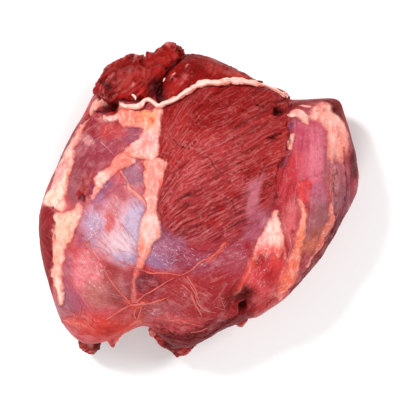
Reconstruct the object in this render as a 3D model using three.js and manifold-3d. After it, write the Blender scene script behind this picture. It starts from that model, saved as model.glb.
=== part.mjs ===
// A raw boneless venison leg roast, lying as on a table with its trimmed side up.
// Millimetres, +Z up, origin under the middle of the roast on the surface it rests on.
//
// The body is a soft dome over its outline. The upper side is a superellipse in each direction from
// the middle, raised where a muscle lies; the lower edge is a quarter ellipse that rolls under to a
// flat base. Seams and pits are pressed in along the surface's own normal. The rump cut, which stands
// over the trimmed face, the loose cut flap and the torn tips at the lower edge are lumps of their
// own, and everything is joined into one solid.
import * as THREE from "three";
import { mergeVertices } from "three/addons/utils/BufferGeometryUtils.js";
import Module from "manifold-3d";

// ---- driving dimensions ----
const RIM_Z = 30; // height of the widest line
const DOME_Z = 73; // height of the upper side at the middle, before the muscles are added
const DOME_POWER = 2.5; // 2 is an ellipse, and more is a fuller shoulder
const BASE_SHARE = 0.76; // plan share of the flat base
const BASE_WAVE = 0.035; // how much that share varies round the roast
const CELLS = 44; // grid cells across the upper side
const UNDER_RINGS = 5; // rings round the roll under the widest line

// The muscles under the upper side: middle in plan, half sizes, turn about Z in degrees, and rise.
const MUSCLES = {
  topside: { at: [10, 26], half: [74, 68], turn: 25, rise: 15 },
  silverside: { at: [-58, -32], half: [54, 60], turn: -10, rise: 15 },
  upper_strap: { at: [-66, 34], half: [48, 30], turn: 60, rise: 8 },
  heel: { at: [-74, -76], half: [38, 40], turn: -35, rise: 8 },
  under_round: { at: [0, -64], half: [60, 40], turn: 0, rise: 9 },
  knuckle: { at: [80, 18], half: [30, 66], turn: 4, rise: 14 },
  shank_end: { at: [56, -52], half: [30, 42], turn: -35, rise: 9 },
};

// The widest line in plan, anticlockwise from the right.
const OUTLINE = [
  [111, 0], [114, 8], [114.7, 20], [112.5, 33], [110, 42], [106.5, 54], [103, 65], [100, 70.5],
  [94, 72.2], [84, 72], [72, 71.3], [64, 72], [59, 77], [47, 82], [36, 88.5], [24, 94.5],
  [11, 100.5], [-3, 103.5], [-14, 103.5], [-32, 100], [-50, 95], [-64, 89], [-72, 80], [-77, 72],
  [-83, 60.5], [-90.3, 48], [-97, 35], [-102.6, 22], [-109.5, 7.5], [-114, -6], [-115, -18],
  [-114, -34], [-111, -50], [-106, -67], [-100, -85], [-93, -96], [-84, -103.5], [-73, -104],
  [-62, -101], [-54, -97], [-46, -93], [-39, -91.5], [-33, -94], [-27, -100], [-19, -105.5],
  [-10, -107], [-2, -105], [8, -99.5], [17, -94], [26, -90], [34, -86], [42, -84.5], [52, -78.5],
  [63, -70.5], [72, -60.5], [80.5, -50.5], [88, -42], [93, -34], [97.5, -27], [103.5, -14.5],
];

// Seams between muscles: course in plan, width and depth.
const SEAMS = {
  topside_to_knuckle: { course: [[63, 68], [62, 42], [57, 22], [54, 2], [56, -10]], width: 15, depth: 5 },
  silverside_to_strap: { course: [[-52, 24], [-70, 12], [-79, -2], [-92, -10]], width: 14, depth: 3 },
  topside_to_silverside: { course: [[-30, 58], [-32, 20], [-30, -14], [-38, -44]], width: 18, depth: 2 },
  heel_to_round: { course: [[-47, -68], [-42, -82], [-38, -100]], width: 16, depth: 4 },
  round_to_shank: { course: [[36, -56], [37, -72], [34, -96]], width: 16, depth: 5 },
};
const SEAM_FADE = 8; // seams and pits keep (1 - share^8) of their depth, so none cuts the outline
// Pits: place in plan, radius and depth.
const PITS = {
  under_flap: { at: [-62, 60], radius: 9, depth: 7 },
  lower_edge: { at: [33, -80], radius: 9, depth: 6 },
  rump_corner: { at: [57, 64], radius: 8, depth: 6 },
};

// Seams that run down under the widest line: direction in plan and width in degrees, and depth.
const SIDE_SEAMS = [
  { direction: -22, width: 16, depth: 7 },
  { direction: 22, width: 14, depth: 4 },
  { direction: 48, width: 14, depth: 6 },
  { direction: 92, width: 16, depth: 6 },
  { direction: 146, width: 18, depth: 6 },
  { direction: 187, width: 16, depth: 5 },
  { direction: 216, width: 14, depth: 4 },
  { direction: 246, width: 14, depth: 7 },
  { direction: 296, width: 14, depth: 6 },
];

// Lumps that drape over the body: outline in plan, anticlockwise, how far the top stands over the
// body, how far the underside sinks below it, and the share of the thickness left at the edge.
const DRAPED = {
  rump_cut: {
    outline: [
      [-27, 66], [-19, 68], [-11, 73], [-3, 78.5], [5, 80.5], [22, 83.5], [33, 82.5], [42, 78], [45, 81],
      [36, 86.5], [25, 93], [12, 98.5], [1, 102], [-11, 103.5], [-14, 98], [-19, 90], [-25, 81],
    ],
    over: 6, under: 9, edge: 0.7,
  },
  fat_edge: {
    outline: [[-56, 63], [-39, 63], [-32, 67], [-26, 62], [-24, 67], [-32, 73], [-40, 69], [-56, 69]],
    over: 4, under: 6, edge: 0.7,
  },
  cut_flap: {
    outline: [
      [-75, 76], [-68, 71], [-55, 69], [-44, 69.5], [-34, 73], [-27, 83], [-19, 94], [-11, 102],
      [-18, 108.5], [-27, 106], [-36, 103.5], [-38, 98.5], [-47, 101], [-55, 97], [-65, 91], [-69, 84],
    ],
    over: 13, under: 12, edge: 0.6,
  },
};
// Lumps at a height of their own: outline in plan, and the heights of the top and the underside.
const HANGING = {
  heel_tip: {
    outline: [[-93, -99], [-86, -109.5], [-78, -113], [-71, -109.5], [-69, -100], [-79, -92]],
    top: 30, underside: 8,
  },
  round_tip: {
    outline: [
      [-38, -91], [-36.5, -99.5], [-30, -99.5], [-28, -106], [-23, -111], [-15, -114.5], [-8, -112], [-3, -105],
      [-14, -92],
    ],
    top: 28, underside: 5,
  },
  skin_tip: {
    outline: [[-68, -99], [-64.5, -102], [-61.5, -108], [-58, -102], [-53, -96], [-60, -92]],
    top: 34, underside: 26,
  },
  shank_tip: { outline: [[23, -86], [30.5, -93], [37, -86], [35, -76], [25, -76]], top: 38, underside: 18 },
};
const HANGING_EDGE = 0.35; // share of a hanging lump's thickness left at its edge
const LUMP_RINGS = 4;
const LUMP_SIDES = 32;
const BEYOND_RIM = 0.985; // past this plan share a draped lump keeps the height it has there

const MEAT = new THREE.MeshStandardMaterial({ color: 0xa23a3f, roughness: 0.42, metalness: 0 });

// ---- small helpers ----
const clamp01 = (t) => Math.min(1, Math.max(0, t));
const lerp = (a, b, t) => a + (b - a) * t;
const toRadians = THREE.MathUtils.degToRad;

// Points of a closed curve through points in plan.
function closedCurve(points, count) {
  const knots = points.map(([x, y]) => new THREE.Vector3(x, y, 0));
  return new THREE.CatmullRomCurve3(knots, true, "centripetal").getPoints(count).slice(0, count);
}

// Distance in plan from a point to an open course.
function distanceTo(course, x, y) {
  let best = Infinity;
  for (let i = 0; i + 1 < course.length; i++) {
    const [ax, ay] = course[i];
    const [dx, dy] = [course[i + 1][0] - ax, course[i + 1][1] - ay];
    const t = clamp01(((x - ax) * dx + (y - ay) * dy) / (dx * dx + dy * dy));
    best = Math.min(best, Math.hypot(x - ax - t * dx, y - ay - t * dy));
  }
  return best;
}

function geometryOf(positions, index) {
  const geometry = new THREE.BufferGeometry();
  geometry.setAttribute("position", new THREE.Float32BufferAttribute(positions, 3));
  geometry.setIndex(index);
  return mergeVertices(geometry, 1e-3);
}

// ---- the outline's radius ----
const OUTLINE_SAMPLES = 1440;
const ANGLE_STEPS = 360;
const SOFT_STEPS = 14; // steps of angle either side that the softened outline is averaged over
const SOFT_SHARE = 0.62; // plan share inside which the body follows only the softened outline

// The outline's radius at equal steps of angle: the sample of the curve nearest to each.
const sharpRadii = (() => {
  const samples = closedCurve(OUTLINE, OUTLINE_SAMPLES);
  return Array.from({ length: ANGLE_STEPS }, (_, i) => {
    const angle = (2 * Math.PI * i) / ANGLE_STEPS;
    const along = new THREE.Vector3(Math.cos(angle), Math.sin(angle), 0);
    const facing = (p) => p.dot(along) / p.length();
    return samples.reduce((best, p) => (facing(p) > facing(best) ? p : best)).length();
  });
})();

const softRadii = sharpRadii.map((_, i) => {
  let sum = 0;
  for (let k = -SOFT_STEPS; k <= SOFT_STEPS; k++) sum += sharpRadii[(i + k + ANGLE_STEPS) % ANGLE_STEPS];
  return sum / (2 * SOFT_STEPS + 1);
});

function radiusIn(radii, angle) {
  const place = ((((angle / (2 * Math.PI)) % 1) + 1) % 1) * ANGLE_STEPS;
  const i = Math.floor(place);
  return lerp(radii[i % ANGLE_STEPS], radii[(i + 1) % ANGLE_STEPS], place - i);
}

// ---- the body ----
// Height of the dome over a place in plan, before the roll to the edge: each muscle adds
// rise (1 - d^2)^2, where d is 1 on its own ellipse.
function crownHeight(x, y) {
  let height = DOME_Z;
  for (const { at, half, turn, rise } of Object.values(MUSCLES)) {
    const [cos, sin] = [Math.cos(toRadians(turn)), Math.sin(toRadians(turn))];
    const [dx, dy] = [x - at[0], y - at[1]];
    const d2 = ((cos * dx + sin * dy) / half[0]) ** 2 + ((cos * dy - sin * dx) / half[1]) ** 2;
    height += rise * Math.max(0, 1 - d2) ** 2;
  }
  return height;
}

// Share of the dome's height left at a plan share: (1 - s^n)^(1/n).
const fall = (share) => Math.max(0, 1 - share ** DOME_POWER) ** (1 / DOME_POWER);

// Where a place lies between the middle, 0, and the widest line, 1. Near the middle it is measured
// to the softened outline, so that a notch in the outline doesn't run on as a groove.
function plainShare(x, y) {
  const angle = Math.atan2(y, x);
  const [sharp, soft] = [sharpRadii, softRadii].map((radii) => Math.hypot(x, y) / radiusIn(radii, angle));
  return lerp(soft, sharp, clamp01((sharp - SOFT_SHARE) / (1 - SOFT_SHARE)) ** 2);
}

function upperHeight(x, y) {
  return RIM_Z + (crownHeight(x, y) - RIM_Z) * fall(Math.min(BEYOND_RIM, plainShare(x, y)));
}

// How far the seams and pits press in at a place in plan.
function pressed(x, y) {
  let depth = 0;
  for (const seam of Object.values(SEAMS)) {
    depth += seam.depth * Math.exp(-((distanceTo(seam.course, x, y) / (seam.width / 2)) ** 2));
  }
  for (const { at, radius, depth: deep } of Object.values(PITS)) {
    depth += deep * Math.exp(-(((x - at[0]) ** 2 + (y - at[1]) ** 2) / radius ** 2));
  }
  return depth;
}

// A point of the upper side: the dome, pressed in along the superellipse's normal.
function upperPoint(share, angle) {
  const rim = radiusIn(sharpRadii, angle);
  const [x, y] = [share * rim * Math.cos(angle), share * rim * Math.sin(angle)];
  const crown = crownHeight(x, y) - RIM_Z;
  const left = share === 1 ? 0 : fall(plainShare(x, y));
  const normal = new THREE.Vector3(
    (Math.cos(angle) * share ** (DOME_POWER - 1)) / rim,
    (Math.sin(angle) * share ** (DOME_POWER - 1)) / rim,
    left ** (DOME_POWER - 1) / crown,
  ).normalize();
  const depth = pressed(x, y) * (1 - share ** SEAM_FADE);
  return new THREE.Vector3(x, y, RIM_Z + crown * left).addScaledVector(normal, -depth);
}

// How far the seams press in under the widest line, in a direction from the middle.
function sidePressed(angle) {
  let depth = 0;
  for (const seam of SIDE_SEAMS) {
    const apart = angle - toRadians(seam.direction);
    const off = Math.atan2(Math.sin(apart), Math.cos(apart));
    depth += seam.depth * Math.exp(-((off / toRadians(seam.width / 2)) ** 2));
  }
  return depth;
}

// A point of the roll under the widest line: turn 0 is the widest line, and turn 1 is on the table.
function underPoint(turn, angle) {
  const s = (turn * Math.PI) / 2;
  const rim = upperPoint(1, angle);
  const base = BASE_SHARE + BASE_WAVE * Math.sin(3 * angle + 1);
  const share = lerp(base, 1, Math.cos(s)) - (sidePressed(angle) * Math.sin(s)) / rim.length();
  return new THREE.Vector3(rim.x * share, rim.y * share, turn === 1 ? 0 : rim.z * (1 - Math.sin(s)));
}

// A square of side 2 spread over a disc, keeping areas even: radius and angle.
function squareToDisc(a, b) {
  if (a === 0 && b === 0) return [0, 0];
  const across = Math.abs(a) > Math.abs(b);
  const angle = across
    ? (Math.PI / 4) * (b / a) + (a < 0 ? Math.PI : 0)
    : Math.PI / 2 - (Math.PI / 4) * (a / b) + (b < 0 ? Math.PI : 0);
  return [Math.max(Math.abs(a), Math.abs(b)), angle];
}

// Plan share for a grid radius: between even steps and a sine, which is closer set at the edge.
const SINE_PART = 0.7;
const shareFor = (radius) => lerp(radius, Math.sin((radius * Math.PI) / 2), SINE_PART);

function bodyGeometry() {
  const points = [];
  const index = [];
  // Two triangles for four corners in order, split along the shorter diagonal.
  const addQuad = (p, q, r, s) => {
    const splitAcross = points[p].distanceTo(points[r]) <= points[q].distanceTo(points[s]);
    index.push(...(splitAcross ? [p, q, r, p, r, s] : [q, r, s, q, s, p]));
  };
  const disc = (i, j) => squareToDisc((2 * i) / CELLS - 1, (2 * j) / CELLS - 1);
  for (let j = 0; j <= CELLS; j++) {
    for (let i = 0; i <= CELLS; i++) {
      const [radius, angle] = disc(i, j);
      points.push(upperPoint(radius === 1 ? 1 : shareFor(radius), angle));
    }
  }
  const at = (i, j) => j * (CELLS + 1) + i;
  for (let j = 0; j < CELLS; j++) {
    for (let i = 0; i < CELLS; i++) addQuad(at(i, j), at(i + 1, j), at(i + 1, j + 1), at(i, j + 1));
  }
  // The edge of the grid, anticlockwise, then the rings below it.
  const edge = [];
  for (let k = 0; k < CELLS; k++) edge.push([k, 0]);
  for (let k = 0; k < CELLS; k++) edge.push([CELLS, k]);
  for (let k = 0; k < CELLS; k++) edge.push([CELLS - k, CELLS]);
  for (let k = 0; k < CELLS; k++) edge.push([0, CELLS - k]);
  let above = edge.map(([i, j]) => at(i, j));
  for (let ring = 1; ring <= UNDER_RINGS; ring++) {
    const below = edge.map(([i, j]) => points.push(underPoint(ring / UNDER_RINGS, disc(i, j)[1])) - 1);
    above.forEach((p, k) => {
      const next = (k + 1) % above.length;
      addQuad(p, below[k], below[next], above[next]);
    });
    above = below;
  }
  const middle = points.push(new THREE.Vector3(0, 0, 0)) - 1;
  above.forEach((p, k) => index.push(p, middle, above[(k + 1) % above.length]));
  return geometryOf(points.flatMap((p) => p.toArray()), index);
}

// ---- the lumps ----
// Rings run from the middle of the top to the outline and back under, so a lump is closed.
// heightOf(x, y, side, bulge) gives the height, with side 1 on top and -1 below.
function lumpGeometry(outline, heightOf, edge) {
  const rim = closedCurve(outline, LUMP_SIDES);
  const middle = new THREE.Vector3();
  rim.forEach((p) => middle.addScaledVector(p, 1 / LUMP_SIDES));
  const positions = [];
  const place = (p, side, share) => {
    const [x, y] = [lerp(middle.x, p.x, share), lerp(middle.y, p.y, share)];
    const bulge = lerp(edge, 1, Math.sqrt(Math.max(0, 1 - share * share)));
    positions.push(x, y, heightOf(x, y, side, bulge));
    return positions.length / 3 - 1;
  };
  const shares = Array.from({ length: LUMP_RINGS }, (_, i) => Math.sin((Math.PI / 2) * ((i + 1) / LUMP_RINGS)));
  const poles = [place(middle, 1, 0), place(middle, -1, 0)];
  const [upper, lower] = [1, -1].map((side) => shares.map((share) => rim.map((p) => place(p, side, share))));
  const bands = [...upper, ...lower.toReversed()];
  const index = [];
  for (let i = 0; i < LUMP_SIDES; i++) {
    const k = (i + 1) % LUMP_SIDES;
    index.push(poles[0], upper[0][i], upper[0][k], poles[1], lower[0][k], lower[0][i]);
    for (let band = 0; band + 1 < bands.length; band++) {
      const [a, b] = [bands[band], bands[band + 1]];
      index.push(a[i], b[i], b[k], a[i], b[k], a[k]);
    }
  }
  return geometryOf(positions, index);
}

function drapedLump({ outline, over, under, edge }) {
  const heightOf = (x, y, side, bulge) => upperHeight(x, y) + (side > 0 ? over : -under) * bulge;
  return lumpGeometry(outline, heightOf, edge);
}

function hangingLump({ outline, top, underside }) {
  const [middle, half] = [(top + underside) / 2, (top - underside) / 2];
  return lumpGeometry(outline, (x, y, side, bulge) => middle + side * half * bulge, HANGING_EDGE);
}

// ---- joining ----
const wasm = await Module();
wasm.setup();

function solidOf(geometry) {
  return new wasm.Manifold(
    new wasm.Mesh({
      numProp: 3,
      vertProperties: geometry.attributes.position.array,
      triVerts: new Uint32Array(geometry.index.array),
    }),
  );
}

function geometryOfSolid(solid) {
  const { vertProperties, triVerts } = solid.getMesh();
  return geometryOf(Array.from(vertProperties), Array.from(triVerts));
}

const lumps = [...Object.values(DRAPED).map(drapedLump), ...Object.values(HANGING).map(hangingLump)];
const roast = lumps.reduce((whole, lump) => whole.add(solidOf(lump)), solidOf(bodyGeometry()));

const mesh = new THREE.Mesh(geometryOfSolid(roast), MEAT);
mesh.name = "leg_roast";
// The origin goes under the middle of the box that the whole roast fills in plan.
mesh.geometry.computeBoundingBox();
const middleOfBox = mesh.geometry.boundingBox.getCenter(new THREE.Vector3());
mesh.geometry.translate(-middleOfBox.x, -middleOfBox.y, 0);

const group = new THREE.Group();
group.add(mesh);

export default group;
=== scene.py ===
"""A raw boneless venison leg roast, lying with its trimmed side up.

The roast is one soft mass. Its body is one closed surface: a dome over the widest line, raised where
a muscle lies, rolled under to a flat base, then given its relief of fat, seams, fibres and pits. The
rump cut, the loose flap and the torn tips are slabs of their own that are sunk into it, and the fat
edge, the threads and the small bits of fat are bands laid on it. Sizes are in millimetres until a
mesh is made. Places on the roast are pixels of the 400 x 400 photograph, which looks straight down.
"""

from __future__ import annotations

import logging
import math
from dataclasses import dataclass, field
from enum import Enum
from functools import partial
from typing import NamedTuple

import bpy
import numpy as np
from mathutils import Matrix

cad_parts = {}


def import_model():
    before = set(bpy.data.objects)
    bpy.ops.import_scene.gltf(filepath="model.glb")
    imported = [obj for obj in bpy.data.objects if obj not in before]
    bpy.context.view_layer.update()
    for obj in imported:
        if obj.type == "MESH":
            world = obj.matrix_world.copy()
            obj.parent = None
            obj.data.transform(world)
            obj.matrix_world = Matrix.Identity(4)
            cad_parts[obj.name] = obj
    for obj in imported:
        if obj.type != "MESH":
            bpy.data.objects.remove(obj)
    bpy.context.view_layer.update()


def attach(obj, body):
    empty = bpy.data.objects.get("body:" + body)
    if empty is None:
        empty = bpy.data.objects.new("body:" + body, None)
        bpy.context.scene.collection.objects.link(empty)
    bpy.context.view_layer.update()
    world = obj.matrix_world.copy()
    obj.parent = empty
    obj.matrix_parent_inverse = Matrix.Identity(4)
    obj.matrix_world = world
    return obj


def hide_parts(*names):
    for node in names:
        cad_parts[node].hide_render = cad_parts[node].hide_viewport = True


LOG = logging.getLogger("leg_roast")
MM = 0.001
NODE = "leg_roast"
FLIP = np.array([1.0, -1.0])  # a picture's rows count down, and the plan's y counts up
Array = np.ndarray
Socket = bpy.types.NodeSocket
Pair = tuple[float, float]
Triple = tuple[float, float, float]


# ---- the photograph's view ----------------------------------------------------------------------


@dataclass(frozen=True)
class PhotoView:
    """The straight-down view, which ties a pixel of the photograph to a place on the roast."""

    pixel_mm: float = 0.72  # one pixel at the height of the widest line
    camera_mm: float = 1100.0  # height of the camera over the table
    rim_mm: float = 30.0  # height of the widest line
    origin_pixel: Pair = (199.0, 203.1)  # where the frame's origin shows
    centre_pixel: Pair = (200.0, 200.0)
    picture_pixels: float = 400.0

    def camera_plan(self) -> Array:
        """Work out the point of the table under the camera, in millimetres.

        Returns:
            Its place in plan.
        """
        across = self.centre_pixel[0] - self.origin_pixel[0]
        up = self.origin_pixel[1] - self.centre_pixel[1]
        return np.array([across, up]) * self.pixel_mm

    def pixel_of(self, points: Array) -> Array:
        """Project points into the photograph.

        Args:
            points: Points in millimetres, with x, y and z last.

        Returns:
            The pixel of each point, with x to the right and y down.
        """
        closer = (self.camera_mm - self.rim_mm) / (self.camera_mm - points[..., 2:3])
        offset = (points[..., :2] - self.camera_plan()) * closer / self.pixel_mm
        return np.array(self.centre_pixel) + offset * FLIP

    def plan_of(self, pixels: Array, height: Array) -> Array:
        """Find the place in plan that shows at a pixel.

        Args:
            pixels: Pixels of the photograph.
            height: The height of each place, in millimetres.

        Returns:
            The place of each pixel, x and y in millimetres.
        """
        further = (self.camera_mm - height) / (self.camera_mm - self.rim_mm)
        offset = (pixels - np.array(self.centre_pixel)) * FLIP
        return self.camera_plan() + offset * self.pixel_mm * further[..., None]


VIEW = PhotoView()


# ---- noise and courses --------------------------------------------------------------------------


def smoothstep(low: float, high: float, value: Array) -> Array:
    """Rise from 0 at low to 1 at high along 3t^2 - 2t^3; low may be the larger."""
    t = np.clip((value - low) / (high - low), 0.0, 1.0)
    return t * t * (3.0 - 2.0 * t)


def cell_values(cells: Array, seed: int) -> Array:
    """Give each whole-number cell a fixed value from -1 to 1, by mixing the bits of its indices.

    Args:
        cells: The indices of each cell, last.
        seed: Which noise this is.

    Returns:
        One value for each cell.
    """
    x, y, z = (cells[..., k].astype(np.int64).astype(np.uint32) for k in range(3))
    mixed = x * np.uint32(374761393) + y * np.uint32(668265263) + z * np.uint32(2246822519)
    mixed = mixed + np.uint32(seed) * np.uint32(3266489917)
    mixed = (mixed ^ (mixed >> np.uint32(13))) * np.uint32(1274126177)
    mixed = (mixed ^ (mixed >> np.uint32(16))) * np.uint32(2654435761)
    return (mixed ^ (mixed >> np.uint32(15))).astype(np.float64) / 2.0**31 - 1.0


def smooth_noise(places: Array, seed: int) -> Array:
    """Blend the values at a cell's eight corners, with 3f^2 - 2f^3 of the place inside the cell.

    Args:
        places: Places in units of a cell, with three parts last.
        seed: Which noise this is.

    Returns:
        The noise, from -1 to 1.
    """
    cells = np.floor(places)
    inside = places - cells
    fade = inside * inside * (3.0 - 2.0 * inside)
    total = np.zeros(places.shape[:-1])
    for corner in np.ndindex(2, 2, 2):
        step = np.array(corner)
        weight = np.prod(np.where(step == 1, fade, 1.0 - fade), axis=-1)
        total += weight * cell_values(cells + step, seed)
    return total


def fractal(places: Array, seed: int, octaves: int = 3, gain: float = 0.5) -> Array:
    """Add up octaves of noise, each at twice the detail and gain times the height.

    Args:
        places: Places in units of the largest feature, with two or three parts last.
        seed: Which noise this is.
        octaves: How many layers are added.
        gain: Height of each layer, as a share of the one before.

    Returns:
        The noise, from about -1 to 1.
    """
    if places.shape[-1] == 2:
        places = np.concatenate([places, np.full(places.shape[:-1] + (1,), 0.5)], axis=-1)
    turn = np.array([[0.0, 0.8, 0.6], [-0.8, 0.36, -0.48], [-0.6, -0.48, 0.64]])
    total = np.zeros(places.shape[:-1])
    height = 1.0
    for octave in range(octaves):
        total += height * smooth_noise(places, seed + 17 * octave)
        places = places @ turn.T * 2.0
        height *= gain
    return total * (1.0 - gain) / (1.0 - gain**octaves) * 1.4


@dataclass(frozen=True)
class Noise:
    """A noise with a real size, or with one for each direction, such as across and along a grain."""

    size: float | Pair | Triple
    seed: int
    octaves: int = 2
    gain: float = 0.5

    def at(self, places: Array, step: int = 0) -> Array:
        """Read the noise at places, or the one that is some steps further on."""
        return fractal(places / np.array(self.size), self.seed + step, self.octaves, self.gain)

    def pair(self, places: Array) -> Array:
        """Read the noise and the next one, as an offset in x and y."""
        return np.stack([self.at(places), self.at(places, 1)], axis=-1)


def turned(x: Array, y: Array, degrees: float) -> tuple[Array, Array]:
    """Measure offsets along a direction and across it, to its left."""
    cos, sin = math.cos(math.radians(degrees)), math.sin(math.radians(degrees))
    return cos * x + sin * y, cos * y - sin * x


def soft_spot(places: Array, at: Pair, half: Pair) -> Array:
    """Give a soft spot, which is 1 in the middle and 1/e on an ellipse of those half sizes."""
    x, y = np.moveaxis((places - np.array(at)) / np.array(half), -1, 0)
    return np.exp(-(x**2 + y**2))


def curve_through(points: Array | tuple, count: int, closed: bool = False) -> Array:
    """Draw a Catmull-Rom curve through points, and step along it evenly.

    Args:
        points: The points, each row with x and y first and any further values after.
        count: How many points to give back.
        closed: Whether the curve comes back to its start.

    Returns:
        Points on the curve, at even steps of its length in x and y.
    """
    points = np.asarray(points, dtype=float)
    if closed:
        knots = np.concatenate([points[-1:], points, points[:2]])
    else:
        knots = np.concatenate([2 * points[:1] - points[1:2], points, 2 * points[-1:] - points[-2:-1]])
    t = np.linspace(0.0, 1.0, 16, endpoint=False)[None, :, None]
    a, b, c, d = (knots[k : len(knots) - 3 + k, None, :] for k in range(4))
    bend = 2 * b + (c - a) * t + (2 * a - 5 * b + 4 * c - d) * t**2 + (3 * b - a - 3 * c + d) * t**3
    dense = np.concatenate([(bend / 2).reshape(-1, points.shape[1]), knots[-2:-1]])
    length = np.concatenate([[0.0], np.cumsum(np.linalg.norm(np.diff(dense[:, :2], axis=0), axis=1))])
    steps = np.linspace(0.0, length[-1], count, endpoint=not closed)
    return np.stack([np.interp(steps, length, dense[:, k]) for k in range(points.shape[1])], axis=1)


class Nearest(NamedTuple):
    """Where places lie beside a course: how far, on which side, how far along, and its third value."""

    distance: Array
    side: Array
    along: Array
    value: Array


def to_course(places: Array, course: Array, reach: float = 1e6) -> Nearest:
    """Measure from places to an open course, as the least distance to any of its straight steps.

    Args:
        places: The places, x and y last.
        course: The course's points, with x and y first and any third value after.
        reach: How far outside the course's own box places are still measured; the rest are far.

    Returns:
        The distance, the side as -1 or 1, the length up to the nearest point, and the value there.
    """
    low, high = course[:, :2].min(axis=0) - reach, course[:, :2].max(axis=0) + reach
    close = np.all((places >= low) & (places <= high), axis=-1)
    if not close.all():
        whole = [np.full(places.shape[:-1], rest) for rest in (1e3, 1.0, 0.0, 0.0)]
        if close.any():
            for values, part in zip(whole, to_course(places[close], course)):
                values[close] = part
        return Nearest(*whole)
    best = np.full(places.shape[:-1], np.inf)
    third = np.zeros_like(best)
    along = np.zeros_like(best)
    side = np.ones_like(best)
    travelled = 0.0
    values = course[:, 2] if course.shape[1] > 2 else np.zeros(len(course))
    for start, end, v0, v1 in zip(course[:-1, :2], course[1:, :2], values[:-1], values[1:]):
        step = end - start
        length = float(np.hypot(*step))
        t = np.clip(((places - start) @ step) / max(length * length, 1e-9), 0.0, 1.0)
        distance = np.linalg.norm(places - start - t[..., None] * step, axis=-1)
        nearer = distance < best
        best = np.where(nearer, distance, best)
        third = np.where(nearer, v0 + (v1 - v0) * t, third)
        along = np.where(nearer, travelled + t * length, along)
        turned = step[0] * (places[..., 1] - start[1]) - step[1] * (places[..., 0] - start[0])
        side = np.where(nearer, np.where(turned < 0, -1.0, 1.0), side)
        travelled += length
    return Nearest(best, side, along, third)


def inside_outline(places: Array, outline: Array) -> Array:
    """Measure how deep places lie inside a closed outline: positive inside, negative outside.

    Args:
        places: The places, x and y last.
        outline: The outline's points.

    Returns:
        The distance to the outline, signed by counting the edges that a line to the right crosses.
    """
    ring = np.concatenate([outline, outline[:1]])
    distance = to_course(places, ring).distance
    crossings = np.zeros(places.shape[:-1], dtype=int)
    for (ax, ay), (bx, by) in zip(ring[:-1], ring[1:]):
        spans = (ay > places[..., 1]) != (by > places[..., 1])
        slope = (bx - ax) / (by - ay) if by != ay else 0.0
        crossings += spans & (places[..., 0] < ax + (places[..., 1] - ay) * slope)
    return np.where(crossings % 2 == 1, distance, -distance)


def depth_inside(places: Array, corners: tuple[Pair, ...], reach: float = 12.0) -> Array:
    """Measure how deep places lie inside a rounded outline, and only down to -reach outside it.

    Args:
        places: The places, x and y last.
        corners: The points that the outline is drawn through.
        reach: How far outside the outline's own box places are still measured.

    Returns:
        The signed distance to the outline.
    """
    outline = curve_through(corners, 4 * len(corners), closed=True)
    close = np.all((places >= outline.min(axis=0) - reach) & (places <= outline.max(axis=0) + reach), axis=-1)
    depth = np.full(places.shape[:-1], -reach)
    if close.any():
        depth[close] = inside_outline(places[close], outline)
    return depth


# ---- the body's form ----------------------------------------------------------------------------


@dataclass(frozen=True)
class Muscle:
    """A muscle under the upper side, which raises it by rise (1 - d^2)^2, d being 1 on its ellipse."""

    at: Pair
    half: Pair
    turn: float
    rise: float

    def lift(self, x: Array, y: Array) -> Array:
        """Work out how far the muscle raises the dome at places in plan.

        Args:
            x: Places across, in the outline's own numbers.
            y: Places up.

        Returns:
            The rise in millimetres.
        """
        along, across = turned(x - self.at[0], y - self.at[1], self.turn)
        squared = (along / self.half[0]) ** 2 + (across / self.half[1]) ** 2
        return self.rise * np.clip(1.0 - squared, 0.0, None) ** 2


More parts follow.
